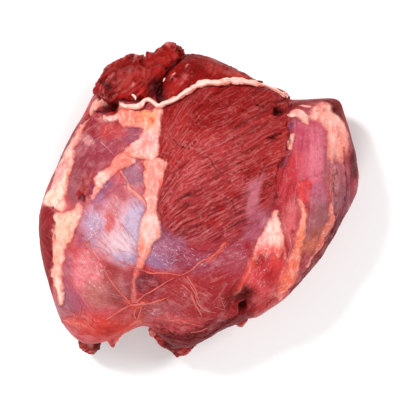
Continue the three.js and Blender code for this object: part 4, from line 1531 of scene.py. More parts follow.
@dataclass
class Slab:
    """A slab of meat between two edges, each drawn in pixels from its left end to its right.

    Its section is a superellipse from the near edge to the far edge, over the body's height by one
    thickness and sunk into it by another; at both ends it closes to a point. Its surface is folded
    where a noise, stretched along the fibres, crosses 0.
    """

    name: str
    near: tuple[Pair, ...]
    far: tuple[Pair, ...]
    over_mm: float
    under_mm: float
    corner: float = 3.2
    end: float = 2.4
    steps: int = 150
    ring: int = 110
    tint: str = SKIN_COLOUR
    lean_tint: str = LEAN_COLOUR
    lean: float = 1.0
    grain_degrees: float = 35.0
    bump_mm: float = 0.8
    bump_size_mm: float = 9.0
    fold_mm: float = 0.6
    fold_size_mm: Pair = (3.0, 22.0)
    grain_mm: float = 0.18
    table_mm: float = 0.5  # the least height of its surface over the table
    ragged_px: float = 0.6
    level_mm: float | None = None  # its own middle height, where it doesn't drape over the body
    zones: tuple[Zone, ...] = ()
    seed: int = 200
    # Its noises, with seeds counted on from its own: what bends its folds, and the rest.
    bends: Noise = Noise(8.0, 7)
    creases: Noise = Noise(11.0, 11)
    grit: Noise = Noise(2.4, 13)
    grain: Noise = Noise(1.8, 9)
    torn: Noise = Noise(2.6, 60)  # of its edges, in pixels

    def section(self) -> tuple[Array, Array]:
        """Give the section's points: where each lies from near to far, and how high.

        Returns:
            Both, from -1 to 1.
        """
        phi = np.linspace(0.0, 2 * np.pi, self.ring, endpoint=False)
        cos, sin = np.cos(phi), np.sin(phi)
        across = np.sign(cos) * np.abs(cos) ** (2.0 / self.corner)
        up = np.sign(sin) * np.abs(sin) ** (2.0 / self.corner)
        return across, up

    def grid(self) -> tuple[Array, Array]:
        """Work out the slab's points, and the pixel of each, with the section round the first axis.

        Returns:
            The points in millimetres, and the pixels.
        """
        edges = []
        for index, edge in enumerate((self.near, self.far)):
            line = curve_through(edge, self.steps)
            torn = [self.torn.at(line, self.seed + 2 * index + k) for k in (0, 1)]
            edges.append(line + self.ragged_px * np.stack(torn, axis=-1))
        across, up = self.section()
        mix = ((across + 1) / 2)[:, None, None]
        pixels = edges[0][None] + (edges[1] - edges[0])[None] * mix
        u = np.linspace(-1.0, 1.0, self.steps)
        taper = np.clip(1.0 - np.abs(u) ** self.end, 0.0, None) ** (1.0 / self.end)
        offset = np.where(up > 0, self.over_mm, self.under_mm)[:, None] * up[:, None] * taper[None]
        if self.level_mm is None:
            points, _ = FORM.place(pixels)
            return points + np.array([0.0, 0.0, 1.0]) * offset[..., None], pixels
        z = self.level_mm + offset
        return np.concatenate([VIEW.plan_of(pixels, z), z[..., None]], axis=-1), pixels

    def finish(self, pixels: Array, paint: Paint) -> Array:
        """Change the relief or the paint of one kind of slab; a plain slab changes nothing."""
        return np.zeros(pixels.shape[:-1])

    def make(self, material: bpy.types.Material) -> bpy.types.Object:
        """Build the slab.

        Args:
            material: The meat's finish.

        Returns:
            The finished piece.
        """
        points, pixels = self.grid()
        paint = Paint.plain(points.shape[:-1], self.tint, lean_tint=self.lean_tint, lean=self.lean)
        along, across = turned(points[..., 0], points[..., 1], self.grain_degrees)
        paint.grain = np.stack([across + 0.5 * points[..., 2], along, 0 * along], axis=-1)
        spread = np.stack([paint.grain[..., 0], along], axis=-1) / np.array(self.fold_size_mm)
        fold = fractal(spread + 0.35 * self.bends.at(points, self.seed)[..., None], self.seed + 5, 2)
        creased = smoothstep(-0.35, 0.45, self.creases.at(points, self.seed))
        valley = np.exp(-((fold / 0.13) ** 2)) * creased
        grit = self.grit.at(points, self.seed)
        # Painted shade darkens the fold valleys and the low grit, and painted highlights pale the fold ridges
        # and the high grit.
        paint.dark = 0.7 * valley + 0.45 * smoothstep(0.2, 0.6, -grit) * creased
        pale = 0.75 * smoothstep(0.35, 0.8, np.abs(fold)) + 0.6 * smoothstep(0.25, 0.65, grit)
        paint.sheath = creased * pale
        paint.lean_tint = painted(pixels + 2.0 * fold[..., None], self.lean_tint, self.zones)
        relief = self.bump_mm * fractal(points / self.bump_size_mm, self.seed, 3)
        relief = relief + self.fold_mm * (2.0 * np.abs(fold) ** 0.6 - 1.0) * (0.3 + 0.7 * creased)
        relief = relief + self.grain_mm * self.grain.at(points, self.seed)
        relief = relief + self.finish(pixels, paint)
        skin = points + normals_of(points, wrap_first=True) * relief[..., None]
        skin[:, 0], skin[:, -1] = points[:, 0].mean(axis=0), points[:, -1].mean(axis=0)
        skin[..., 2] = np.maximum(skin[..., 2], self.table_mm)
        faces = grid_faces(skin.shape[0], skin.shape[1], wrap_rows=True)
        return make_object(self.name, skin.reshape(-1, 3), [faces], paint, material)


@dataclass
class RumpCut(Slab):
    """The cut end of the rump, which stands over the trimmed face."""

    flecks: tuple[tuple[Pair, Pair, float], ...] = (
        ((188, 65), (186, 67), 0.7), ((175, 73.5), (173, 75), 0.8), ((171.5, 77), (170.5, 79), 0.4),
    )
    gap: tuple[Triple, ...] = ((184, 53, 2.5), (175, 61, 3.5), (166, 70, 3.0), (161, 80, 3.0), (157, 92, 4.0))
    gap_mm: float = 1.2

    def finish(self, pixels: Array, paint: Paint) -> Array:
        """Mark the pale flecks, and the dark gap by the flap.

        Args:
            pixels: The pixel of each point.
            paint: The slab's paint, which is changed.

        Returns:
            How far each point is moved out.
        """
        for start, end, width in self.flecks:
            near = to_course(pixels, np.array([start, end], dtype=float))
            paint.at_least(fat=0.6 * smoothstep(width + 0.7, width - 0.5, near.distance))
        gap = to_course(pixels, curve_through(self.gap, 30))
        left = smoothstep(1.6, 0.5, gap.distance / gap.value)
        # Painted shade darkens the gap by the flap, and the painted highlights are cut back there.
        paint.at_least(dark=0.85 * left)
        paint.sheath = 0.6 * paint.sheath * (1.0 - left)
        return -self.gap_mm * left


@dataclass
class CutFlap(Slab):
    """The loose flap of torn lean above the upper-left corner."""

    split: tuple[Pair, ...] = ((145, 57), (142, 63), (147, 68), (156, 66), (163, 67), (167, 71))
    split_px: float = 1.7
    split_mm: float = 1.2
    hollow: tuple[Pair, Pair] = ((150, 84), (12, 9))
    hollow_mm: float = 1.6
    right_mm: float = 1.6  # how far its right part stands up

    def finish(self, pixels: Array, paint: Paint) -> Array:
        """Split the flap into its two folds, and darken the hollow below the upper one.

        Args:
            pixels: The pixel of each point.
            paint: The slab's paint, which is changed.

        Returns:
            How far each point is moved out.
        """
        split = to_course(pixels, curve_through(self.split, 30))
        groove = np.exp(-((split.distance / self.split_px) ** 2))
        hollow = soft_spot(pixels, *self.hollow)
        right = smoothstep(150.0, 172.0, pixels[..., 0] + 0.5 * (pixels[..., 1] - 60.0))
        low = smoothstep(66.0, 92.0, pixels[..., 1])
        # Painted shade darkens the split and the hollow.
        paint.at_least(dark=np.maximum(0.4 * groove, 0.3 * hollow))
        paint.sheath = paint.sheath * (1.0 - 0.5 * right) * (1.0 - 0.3 * low)
        return self.right_mm * right - self.split_mm * groove - self.hollow_mm * hollow


@dataclass
class Ribbon:
    """A band or thread laid on the surface: its course in pixels with half its width in pixels.

    Its section is an ellipse of that width and of a thickness, carried along the course and turned
    to the surface's normal, and it narrows to nothing at its ends.
    """

    line: tuple[Triple, ...]
    thick_mm: float
    lift_mm: float = 0.0
    sides: int = 10
    step_px: float = 0.9
    end_px: float = 3.0
    wander_px: float = 0.0
    rough_mm: float = 0.12
    uneven: float = 0.6  # how much its width changes on the way
    seed: int = 400
    # Its noises, with seeds counted on from its own; the first two are in pixels.
    wander: Noise = Noise(8.0, 0)
    swell: Noise = Noise(4.0, 2)
    rough: Noise = Noise((2.0, 7.0, 1.0), 3)
    streaks: Noise = Noise((1.3, 6.0), 4)

    def course(self) -> Array:
        """Step evenly along the course: pixel x and y, and half the width.

        Returns:
            The steps, one a row.
        """
        line = np.array(self.line, dtype=float)
        length = np.linalg.norm(np.diff(line[:, :2], axis=0), axis=1).sum()
        course = curve_through(line, max(8, int(length / self.step_px)))
        wander = [self.wander.at(course[:, :2], self.seed + k) for k in (0, 1)]
        course[:, :2] += self.wander_px * np.stack(wander, axis=-1)
        course[:, 2] *= 1.0 + self.uneven * self.swell.at(course[:, :2], self.seed)
        return course

    def grid(self, course: Array, relief: Array) -> tuple[Array, Paint, Array]:
        """Carry the section along the course.

        Args:
            course: The course, as stepped.
            relief: How far the surface there stands off the smooth form.

        Returns:
            The points, with the section round the first axis, their paint, and how near the edge each is.
        """
        centre, normal = FORM.place(course[:, :2], self.lift_mm + relief)
        tangent = np.gradient(centre, axis=0)
        tangent /= np.linalg.norm(tangent, axis=-1, keepdims=True)
        sideways = np.cross(tangent, normal)
        sideways /= np.linalg.norm(sideways, axis=-1, keepdims=True)
        travelled = np.arange(len(course)) * self.step_px
        ends = np.minimum(travelled, travelled[::-1]) / self.end_px
        taper = np.sqrt(np.clip(1.0 - np.clip(1.0 - ends, 0.0, 1.0) ** 2, 0.0, 1.0))
        half = course[:, 2] * VIEW.pixel_mm * taper
        thick = self.thick_mm / 2 * taper * np.minimum(1.0, 0.4 + 0.6 * course[:, 2] / course[:, 2].max())
        phi = np.linspace(0.0, 2 * np.pi, self.sides, endpoint=False)[:, None] + 0 * half
        points = centre[None] + (np.cos(phi) * half)[..., None] * sideways[None]
        points = points + (np.sin(phi) * thick)[..., None] * normal[None]
        grain = np.stack([2.2 * np.cos(phi) * half, travelled * VIEW.pixel_mm + 0 * phi, 0 * phi], axis=-1)
        spread = np.stack([grain[..., 0], grain[..., 1], np.sin(phi)], axis=-1)
        rough = self.rough_mm * self.rough.at(spread, self.seed)
        points = points + normals_of(points, wrap_first=True) * rough[..., None]
        points[:, 0], points[:, -1] = points[:, 0].mean(axis=0), points[:, -1].mean(axis=0)
        paint = Paint.plain(points.shape[:-1])
        paint.grain = grain
        streaked = self.streaks.at(grain[..., :2], self.seed)
        # Dark streaks run along the ribbon everywhere but along its crest, and pale streaks, which thin the
        # cover of its masks; on ribbons the pale mask marks these streaks.
        paint.dark = 0.3 * smoothstep(0.15, 0.7, streaked) * (np.sin(phi) < 0.9)
        paint.sheath = smoothstep(-0.1, -0.6, streaked)
        return points, paint, smoothstep(0.4, 1.1, np.abs(np.cos(phi)) + 0.35 * streaked)


@dataclass
class RibbonSet:
    """Several ribbons of one finish, joined into one piece."""

    name: str
    ribbons: tuple[Ribbon, ...]
    fat_tint: str = FAT_COLOUR
    skin_tint: str = SKIN_COLOUR
    edge_tint: str = SKIN_COLOUR
    masks: dict[str, float] = field(default_factory=dict)
    side: TrimmedSide | None = None  # whose relief they follow, where they lie on the body itself

    def make(self, material: bpy.types.Material) -> bpy.types.Object:
        """Build the ribbons.

        Args:
            material: Their finish.

        Returns:
            The finished piece.
        """
        courses = [ribbon.course() for ribbon in self.ribbons]
        pixels = np.concatenate(courses)[:, :2]
        relief = self.side.study(pixels, FORM.place(pixels)[0])[0] if self.side else np.zeros(len(pixels))
        reliefs = np.split(relief, np.cumsum([len(course) for course in courses])[:-1])
        points, faces, paints, start = [], [], [], 0
        for ribbon, course, height in zip(self.ribbons, courses, reliefs):
            grid, paint, edge = ribbon.grid(course, height)
            for tint, code in ((paint.fat_tint, self.fat_tint), (paint.skin_tint, self.skin_tint)):
                core = linear_colour(code)
                tint[...] = core + (linear_colour(self.edge_tint) - core) * edge[..., None]
            for name, value in self.masks.items():
                setattr(paint, name, value * (1.0 - 0.35 * paint.sheath))
            faces.append(start + grid_faces(grid.shape[0], grid.shape[1], wrap_rows=True)[:, ::-1])
            points.append(grid.reshape(-1, 3))
            paints.append(paint)
            start += len(points[-1])
        return make_object(self.name, np.concatenate(points), faces, Paint.joined(paints), material)


@dataclass(frozen=True)
class Squiggles:
    """Short curled threads strewn over an ellipse: how many, how long and which way they run."""

    at: Pair
    half: Pair
    degrees: float
    spread: float
    count: int
    length_px: Pair
    half_px: float
    seed: int
    knots: int = 5
    bend_degrees: float = 16.0  # at every knot of a thread
    jitter_degrees: float = 8.0
    thick: float = 2.2  # in millimetres for each pixel of half the width
    lift_mm: float = 0.12
    first_seed: int = 500

    def ribbons(self) -> tuple[Ribbon, ...]:
        """Strew the threads, which turn a little at every knot.

        Returns:
            The threads.
        """
        random = np.random.default_rng(self.seed)
        made = []
        for index in range(self.count):
            radius, around = math.sqrt(random.random()), random.random() * 2 * math.pi
            x = self.at[0] + self.half[0] * radius * math.cos(around)
            y = self.at[1] + self.half[1] * radius * math.sin(around)
            heading = math.radians(self.degrees + self.spread * random.normal())
            step = random.uniform(*self.length_px) / (self.knots - 1)
            bend = math.radians(self.bend_degrees) * random.normal()
            line = []
            for _ in range(self.knots):
                line.append((x, y, self.half_px * (0.6 + 0.8 * random.random())))
                x, y = x + step * math.cos(heading), y - step * math.sin(heading)
                heading += bend + math.radians(self.jitter_degrees) * random.normal()
            shape = (tuple(line), self.thick * self.half_px, self.lift_mm)
            made.append(Ribbon(*shape, sides=6, step_px=1.0, seed=self.first_seed + 7 * index))
        return tuple(made)


# ---- finishes -----------------------------------------------------------------------------------


Rises = tuple[tuple[str, float], ...]


class Spread(Enum):
    """What a pattern is laid out on."""

    SURFACE = "the place on the object"
    FIBRES = "the fibre coordinates that the grain attribute holds"


@dataclass(frozen=True)
class Pattern:
    """A noise with a real size across and along, in millimetres, and a number of finer layers."""

    spread: Spread
    across_mm: float
    along_mm: float
    detail: float


# Real fibres are 0.1 to 0.3 mm wide and wet glints finer still. They are drawn coarser, at 1.3 to
# 2.6 mm, because a render 400 pixels wide has about 0.7 mm to a pixel.
PATTERNS = {
    "bundle": Pattern(Spread.FIBRES, 2.6, 30.0, 2.0),
    "strand": Pattern(Spread.FIBRES, 1.5, 11.0, 2.0),
    "streak": Pattern(Spread.FIBRES, 1.6, 14.0, 3.0),
    "smear": Pattern(Spread.FIBRES, 3.4, 8.0, 4.0),
    "cloud": Pattern(Spread.SURFACE, 8.0, 8.0, 4.0),
    "lump": Pattern(Spread.SURFACE, 3.6, 3.6, 3.0),
    "fine": Pattern(Spread.SURFACE, 1.6, 1.6, 2.0),
    "fold": Pattern(Spread.FIBRES, 2.4, 5.5, 2.0),
    "glint": Pattern(Spread.SURFACE, 1.3, 1.3, 0.0),
}


@dataclass(frozen=True)
class Stir:
    """Turns a finish towards another colour, by most, where a pattern goes from low to high."""

    pattern: str
    low: float
    high: float
    most: float
    colour: str


@dataclass(frozen=True)
class Finish:
    """A finish laid over a painted colour: its stirs, how rough it is, and what stands out of it."""

    stirs: tuple[Stir, ...]
    roughness: float
    relief_mm: Rises


@dataclass(frozen=True)
class Silverskin(Finish):
    """Membrane over the muscle: what shows through it is clouded, with a film of white threads."""

    stirs: tuple[Stir, ...] = (
        Stir("cloud", 0.50, 0.74, 0.26, "#dd9498"),
        Stir("cloud", 0.46, 0.28, 0.40, "#8a1c22"),
        Stir("streak", 0.53, 0.72, 0.26, "#dc9496"),
        Stir("lump", 0.46, 0.28, 0.30, "#8c1a1c"),
        Stir("strand", 0.46, 0.32, 0.32, "#9c3a46"),
        # Pale specks: painted glints.
        Stir("fine", 0.52, 0.76, 0.08, "#eec4c4"),
    )
    roughness: float = 0.34
    relief_mm: Rises = (("fine", 0.50), ("lump", 0.50), ("strand", 0.45))


@dataclass(frozen=True)
class Lean(Finish):
    """Cut muscle: deep red, with darker and lighter bundles of fibres, moist all over."""

    stirs: tuple[Stir, ...] = (
        Stir("bundle", 0.52, 0.32, 0.45, "#5e0608"),
        Stir("strand", 0.46, 0.33, 0.42, "#5c080a"),
        Stir("strand", 0.56, 0.72, 0.24, "#c85a54"),
        Stir("cloud", 0.52, 0.72, 0.35, "#a81614"),
        # Pale specks: painted glints.
        Stir("fine", 0.58, 0.74, 0.12, "#d08080"),
    )
    roughness: float = 0.40
    relief_mm: Rises = (("strand", 0.85), ("fine", 0.55), ("bundle", 0.5))


@dataclass(frozen=True)
class Suet(Finish):
    """Trimmed fat: waxy and pale, pink and orange where it thins, streaked the way it was cut."""

    stirs: tuple[Stir, ...] = (
        Stir("smear", 0.50, 0.68, 0.40, "#fad6ca"),
        Stir("smear", 0.48, 0.32, 0.45, "#e2685a"),
        Stir("cloud", 0.48, 0.30, 0.50, "#dc5a4c"),
        Stir("lump", 0.46, 0.30, 0.40, "#dc6654"),
        Stir("strand", 0.46, 0.33, 0.25, "#d8604e"),
        Stir("fine", 0.54, 0.74, 0.30, "#fdeee6"),
    )
    roughness: float = 0.36
    relief_mm: Rises = (("smear", 0.6), ("strand", 0.4), ("lump", 0.4), ("fine", 0.25))


@dataclass(frozen=True)
class Sinew(Finish):
    """Connective tissue: orange-red, smooth and shiny, with pale strands."""

    stirs: tuple[Stir, ...] = (
        Stir("streak", 0.48, 0.70, 0.55, "#ec8c7a"),
        Stir("cloud", 0.50, 0.32, 0.50, "#b02820"),
    )
    roughness: float = 0.28
    relief_mm: Rises = (("streak", 0.4), ("fine", 0.15))


@dataclass(frozen=True)
class WetFoldHighlights(Finish):
    """Wrinkled wet membrane: thin whitish folds that catch the light."""

    # These folds are painted near white, as highlights where they catch the light.
    stirs: tuple[Stir, ...] = (Stir("cloud", 0.52, 0.40, 0.5, "#c89ab4"),)
    roughness: float = 0.16
    relief_mm: Rises = (("fine", 0.5), ("lump", 0.6), ("streak", 0.6))


@dataclass(frozen=True)
class BloodFilm(Finish):
    """A thin wet film of blood, which is darker and glossier than what it lies on."""

    stirs: tuple[Stir, ...] = (Stir("lump", 0.45, 0.65, 0.5, "#b3150e"),)
    roughness: float = 0.14
    relief_mm: Rises = (("lump", 0.6), ("fine", 0.2))


SINEW_COLOUR = "#cc463c"
BLOOD_COLOUR = "#8c0a08"
RIDGE_HIGHLIGHT_COLOUR = "#c66a6a"
SHADOW_COLOUR = "#260101"
FOLD_HIGHLIGHT_COLOUR = "#f2dadd"
MATH, MIX, RANGE = "ShaderNodeMath", "ShaderNodeMix", "ShaderNodeMapRange"
SMOOTH = {"interpolation_type": "SMOOTHSTEP"}


class Look(NamedTuple):
    """A finish as node sockets."""

    colour: object
    roughness: object
    height: object


def add_node(
    tree: bpy.types.NodeTree, kind: str, inputs: dict[int | str, object] | None = None, out: int | str = 0,
    **settings: object,
) -> Socket | None:
    """Add one node with its settings, input values and links.

    Args:
        tree: The tree to add to.
        kind: The node's type.
        inputs: For each input, a value or the socket that feeds it.
        out: Which output to give back.
        **settings: The node's own properties.

    Returns:
        The output, where the node has any.
    """
    node = tree.nodes.new(kind)
    for name, value in settings.items():
        setattr(node, name, value)
    for key, value in (inputs or {}).items():
        if isinstance(value, Socket):
            tree.links.new(value, node.inputs[key])
        else:
            node.inputs[key].default_value = value
    return node.outputs[out] if node.outputs else None


def rgba(code: str) -> tuple[float, float, float, float]:
    """Give a hex colour as a node's linear colour value."""
    return (*(float(part) for part in linear_colour(code)), 1.0)


@dataclass
class MeatMaterial:
    """Raw venison: silverskin, cut lean, sinew, fat and blood, laid over each other by the paint."""

    name: str = "raw_venison"
    wet_roughness: float = 0.22
    apart: float = 7.3  # how far apart the patterns are read in the noise
    fold_width: float = 0.028
    specular: float = 0.04
    coat_roughness: float = 0.10
    soft: float = 0.10  # how much light goes in and comes out, and how far in each colour
    soft_reach: Triple = (1.0, 0.25, 0.18)
    soft_reach_m: float = 0.0025
    skin: Finish = Silverskin()
    lean: Finish = Lean()
    suet: Finish = Suet()
    sinew: Finish = Sinew()
    folds: Finish = WetFoldHighlights()
    film: Finish = BloodFilm()

    def build(self) -> bpy.types.Material:
        """Build the node tree.

        Returns:
            The material.
        """
        material = bpy.data.materials.new(self.name)
        material.use_nodes = True
        material.node_tree.nodes.clear()
        self.add = add = partial(add_node, material.node_tree)
        self.mask = {name: add("ShaderNodeAttribute", out="Fac", attribute_name=name) for name in MASKS}
        self.tint = {name: add("ShaderNodeAttribute", out="Color", attribute_name=name) for name in COLOURS}
        self.lay_out_patterns()
        look = self.layers()
        # The dark mask mixes the shadow colour in: painted shade.
        colour = add(MIX, {0: self.mask["dark"], 6: look.colour, 7: rgba(SHADOW_COLOUR)}, 2, data_type="RGBA")
        wet = add(RANGE, {0: self.pattern["cloud"], 1: 0.44, 2: 0.66, 4: 0.7}, **SMOOTH)
        rough = add(MIX, {0: wet, 2: look.roughness, 3: self.wet_roughness}, data_type="FLOAT")
        bump = add("ShaderNodeBump", {"Height": look.height, "Strength": 1.0, "Distance": MM})
        surface = {
            "Base Color": colour, "Roughness": rough, "Normal": bump, "IOR": 1.4,
            "Specular IOR Level": self.specular, "Coat Weight": self.coat(wet, colour),
            "Coat Roughness": self.coat_roughness, "Coat IOR": 1.35, "Coat Normal": bump,
            "Subsurface Weight": self.soft, "Subsurface Radius": self.soft_reach,
            "Subsurface Scale": self.soft_reach_m,
        }
        shader = add("ShaderNodeBsdfPrincipled", surface)
        add("ShaderNodeOutputMaterial", {"Surface": shader})
        return material

    def layers(self) -> Look:
        """Lay the cut lean, the sinew, the fat, the wet folds and the blood over the silverskin.

        Returns:
            What they look like together.
        """
        add, mask, tint = self.add, self.mask, self.tint
        # Noise breaks the fat's edge into streaks.
        torn = add(MATH, {0: self.pattern["streak"], 1: self.pattern["lump"]}, operation="ADD")
        torn = add(MATH, {0: torn, 1: 0.5, 2: mask["fat"]}, operation="MULTIPLY_ADD")
        fat_mask = add(RANGE, {0: torn, 1: 0.62, 2: 1.34}, **SMOOTH)

        # Where the tint is very dark, the film over it is thin, and less of the stirs shows.
        film = {}
        for name in ("skin_tint", "lean_tint"):
            pale = add("ShaderNodeRGBToBW", {0: tint[name]})
            film[name] = add(RANGE, {0: pale, 1: 0.015, 2: 0.065, 3: 0.03})
        look = self.dress(tint["skin_tint"], self.skin, film["skin_tint"])
        lean = self.dress(tint["lean_tint"], self.lean, film["lean_tint"])
        # Painted highlights pale the lean where the pale mask is set.
        pale = add(MIX, {0: mask["sheath"], 6: lean.colour, 7: rgba(RIDGE_HIGHLIGHT_COLOUR)}, 2, data_type="RGBA")
        look = self.lay(look, lean._replace(colour=pale), mask["lean"])
        look = self.lay(look, self.dress(rgba(SINEW_COLOUR), self.sinew), mask["sinew"])
        look = self.lay(look, self.dress(tint["fat_tint"], self.suet), fat_mask)
        # Pale folds and glint dots are painted highlights of wet membrane; the folds run where a pattern
        # crosses its middle value, on the glossy parts that aren't fat.
        level = add(MATH, {0: self.pattern["fold"], 1: 0.5}, operation="SUBTRACT")
        level = add(MATH, {0: level}, operation="ABSOLUTE")
        fold = add(RANGE, {0: level, 1: self.fold_width, 2: 0.0, 4: 0.8}, **SMOOTH)
        shown = add(RANGE, {0: self.pattern["lump"], 1: 0.46, 2: 0.60}, **SMOOTH)
        fold = add(MATH, {0: fold, 1: mask["gloss"]}, operation="MULTIPLY")
        fold = add(MATH, {0: fold, 1: shown}, operation="MULTIPLY")
        glint = add(RANGE, {0: self.pattern["glint"], 1: 0.74, 2: 0.82, 4: 0.8})
        glint = add(MATH, {0: glint, 1: mask["gloss"]}, operation="MULTIPLY")
        fold = add(MATH, {0: fold, 1: glint}, operation="MAXIMUM")
        look = self.lay(look, self.dress(rgba(FOLD_HIGHLIGHT_COLOUR), self.folds), fold)
        return self.lay(look, self.dress(rgba(BLOOD_COLOUR), self.film), mask["blood"])

    def coat(self, wet: Socket, colour: Socket) -> Socket:
        """Work out the wet film's weight.

        Args:
            wet: Where the surface is wetter.
            colour: The finished colour; a dark place is deep or dry, and has little of the film.

        Returns:
            The weight, which falls off down the side walls.
        """
        add = self.add
        coat = add(MATH, {0: wet, 1: 0.30, 2: 0.03}, operation="MULTIPLY_ADD")
        coat = add(MATH, {0: self.mask["gloss"], 1: 0.8, 2: coat}, operation="MULTIPLY_ADD")
        upright = add("ShaderNodeAttribute", out="Fac", attribute_name="upright")
        level = add(RANGE, {0: upright, 1: 0.20, 2: 0.70, 3: 0.25}, **SMOOTH)
        coat = add(MATH, {0: coat, 1: level}, operation="MULTIPLY")
        depth = add("ShaderNodeRGBToBW", {0: colour})
        depth = add(RANGE, {0: depth, 1: 0.02, 2: 0.11, 3: 0.15})
        return add(MATH, {0: coat, 1: depth}, operation="MULTIPLY")

    def lay_out_patterns(self) -> None:
        """Add every pattern's noise, on coordinates divided by its real size."""
        places = {
            Spread.SURFACE: self.add("ShaderNodeTexCoord", out="Object"),
            Spread.FIBRES: self.add("ShaderNodeAttribute", out="Vector", attribute_name="grain"),
        }
        self.pattern = {}
        for index, (name, form) in enumerate(PATTERNS.items()):
            unit = 1.0 / MM if form.spread is Spread.SURFACE else 1.0
            scale = (unit / form.across_mm, unit / form.along_mm, unit / form.across_mm)
            inputs = {0: places[form.spread], 1: scale, 2: (self.apart * index,) * 3}
            place = self.add("ShaderNodeVectorMath", inputs, operation="MULTIPLY_ADD")
            noise = {"Vector": place, "Scale": 1.0, "Detail": form.detail, "Roughness": 0.55}
            self.pattern[name] = self.add("ShaderNodeTexNoise", noise)

    def dress(self, base: object, finish: Finish, film: Socket | None = None) -> Look:
        """Work a finish out over a colour.

        Args:
            base: The colour, as a value or a socket.
            finish: The finish.
            film: How much of its stirs shows, where that isn't the same all over.

        Returns:
            Its look.
        """
        colour = base
        for stir in finish.stirs:
            inputs = {0: self.pattern[stir.pattern], 1: stir.low, 2: stir.high, 4: stir.most}
            share = self.add(RANGE, inputs, **SMOOTH)
            if film is not None:
                share = self.add(MATH, {0: share, 1: film}, operation="MULTIPLY")
            colour = self.add(MIX, {0: share, 6: colour, 7: rgba(stir.colour)}, 2, data_type="RGBA")
        height = 0.0
        for name, rise in finish.relief_mm:
            height = self.add(MATH, {0: self.pattern[name], 1: rise, 2: height}, operation="MULTIPLY_ADD")
        return Look(colour, finish.roughness, height)

    def lay(self, below: Look, above: Look, mask: Socket) -> Look:
        """Lay one finish over another.

        Args:
            below: What lies below.
            above: What is laid over it.
            mask: How much of it there is.

        Returns:
            The two together.
        """
        colour = self.add(MIX, {0: mask, 6: below.colour, 7: above.colour}, 2, data_type="RGBA")
        roughness = self.add(MIX, {0: mask, 2: below.roughness, 3: above.roughness}, data_type="FLOAT")
        height = self.add(MIX, {0: mask, 2: below.height, 3: above.height}, data_type="FLOAT")
        return Look(colour, roughness, height)


# ---- the scene ----------------------------------------------------------------------------------


@dataclass(frozen=True)
class Softbox:
    """A square soft light that faces the roast: its place and side in metres, and its power in watts."""

    name: str
    at: Triple
    side: float
    power: float

    def make(self) -> None:
        """Hang the light, tipped from straight down by the angle that its place makes with the roast."""
        lamp = bpy.data.lights.new(self.name, "AREA")
        lamp.shape, lamp.size, lamp.energy = "SQUARE", self.side, self.power
        holder = bpy.data.objects.new(self.name, lamp)
        holder.location = self.at
        x, y, z = np.array(self.at) / np.linalg.norm(self.at)
        holder.rotation_euler = (math.acos(z), 0.0, math.atan2(y, x) + math.pi / 2)
        bpy.context.scene.collection.objects.link(holder)


@dataclass
class Studio:
    """A plain pale floor, soft light from the upper left and the photograph's camera."""

    sensor_mm: float = 36.0
    floor_m: float = 4.0
    floor_mm: float = -0.1  # its height, a little under the roast
    floor: str = "#ffffff"
    floor_roughness: float = 0.9
    world: float = 0.30
    lights: tuple[Softbox, ...] = (
        Softbox("key", (-0.66, 0.60, 1.00), 0.30, 14.0),
        Softbox("right_fill", (0.85, 0.30, 0.85), 0.50, 6.5),
        Softbox("low_fill", (-0.15, -0.90, 0.85), 0.50, 7.0),
    )

    def make_camera(self) -> None:
        """Place the camera over the roast, looking straight down."""
        camera = bpy.data.cameras.new("camera")
        camera.sensor_width = self.sensor_mm
        wide = VIEW.picture_pixels * VIEW.pixel_mm
        camera.lens = self.sensor_mm * (VIEW.camera_mm - VIEW.rim_mm) / wide
        holder = bpy.data.objects.new("camera", camera)
        x, y = VIEW.camera_plan() * MM
        holder.location = (x, y, VIEW.camera_mm * MM)
        bpy.context.scene.collection.objects.link(holder)
        bpy.context.scene.camera = holder

    def make_floor(self) -> None:
        """Lay the floor just under the roast."""
        half, low = self.floor_m / 2, self.floor_mm * MM
        mesh = bpy.data.meshes.new("floor")
        corners = [(-half, -half, low), (half, -half, low), (half, half, low), (-half, half, low)]
        mesh.from_pydata(corners, [], [(0, 1, 2, 3)])
        material = bpy.data.materials.new("matt_white_card")
        material.use_nodes = True
        shader = material.node_tree.nodes["Principled BSDF"]
        shader.inputs["Base Color"].default_value = rgba(self.floor)
        shader.inputs["Roughness"].default_value = self.floor_roughness
        mesh.materials.append(material)
        floor = bpy.data.objects.new("floor", mesh)
        bpy.context.scene.collection.objects.link(floor)

    def make(self) -> None:
        """Build the whole studio."""
        self.make_camera()
        self.make_floor()
        for light in self.lights:
            light.make()
        world = bpy.data.worlds.new("studio")
        world.use_nodes = True
        world.node_tree.nodes["Background"].inputs["Color"].default_value = (1.0, 1.0, 1.0, 1.0)
        world.node_tree.nodes["Background"].inputs["Strength"].default_value = self.world
        bpy.context.scene.world = world
        bpy.context.scene.view_settings.view_transform = "Standard"


RUMP = RumpCut(
    "rump_cut",
    near=((158, 104), (163, 105), (170, 101), (179, 97), (188, 90), (196, 85), (206, 82), (217, 81.5),
          (231, 79), (245, 79), (256, 82), (265, 87)),
    far=((158, 104), (155, 93), (160, 80), (170, 66), (183, 54.5), (200, 55), (217, 61), (235, 68.5),
         (250, 77.5), (262, 85), (265, 87)),
    over_mm=5.5, under_mm=9.0, grain_degrees=40.0, bump_mm=0.5, fold_mm=0.3, ragged_px=0.9,
    lean_tint="#820f0b",
    # The first zone darkens the rump's left end beside the gap by the flap: painted shade.
    zones=zones_of((157, 95, 9, 12, 20, "#40080c", 1), (176, 88, 12, 7, -30, "#a02220", 0.8),
                   (195, 68, 16, 8, 25, "#780d0b", 0.8), (214, 70, 12, 5, 25, "#a02822", 0.7),
                   (240, 79, 18, 4, 25, "#c03e34", 0.8), (184, 60, 8, 4, -30, "#6c0e0e", 0.8)),
    seed=210,
)
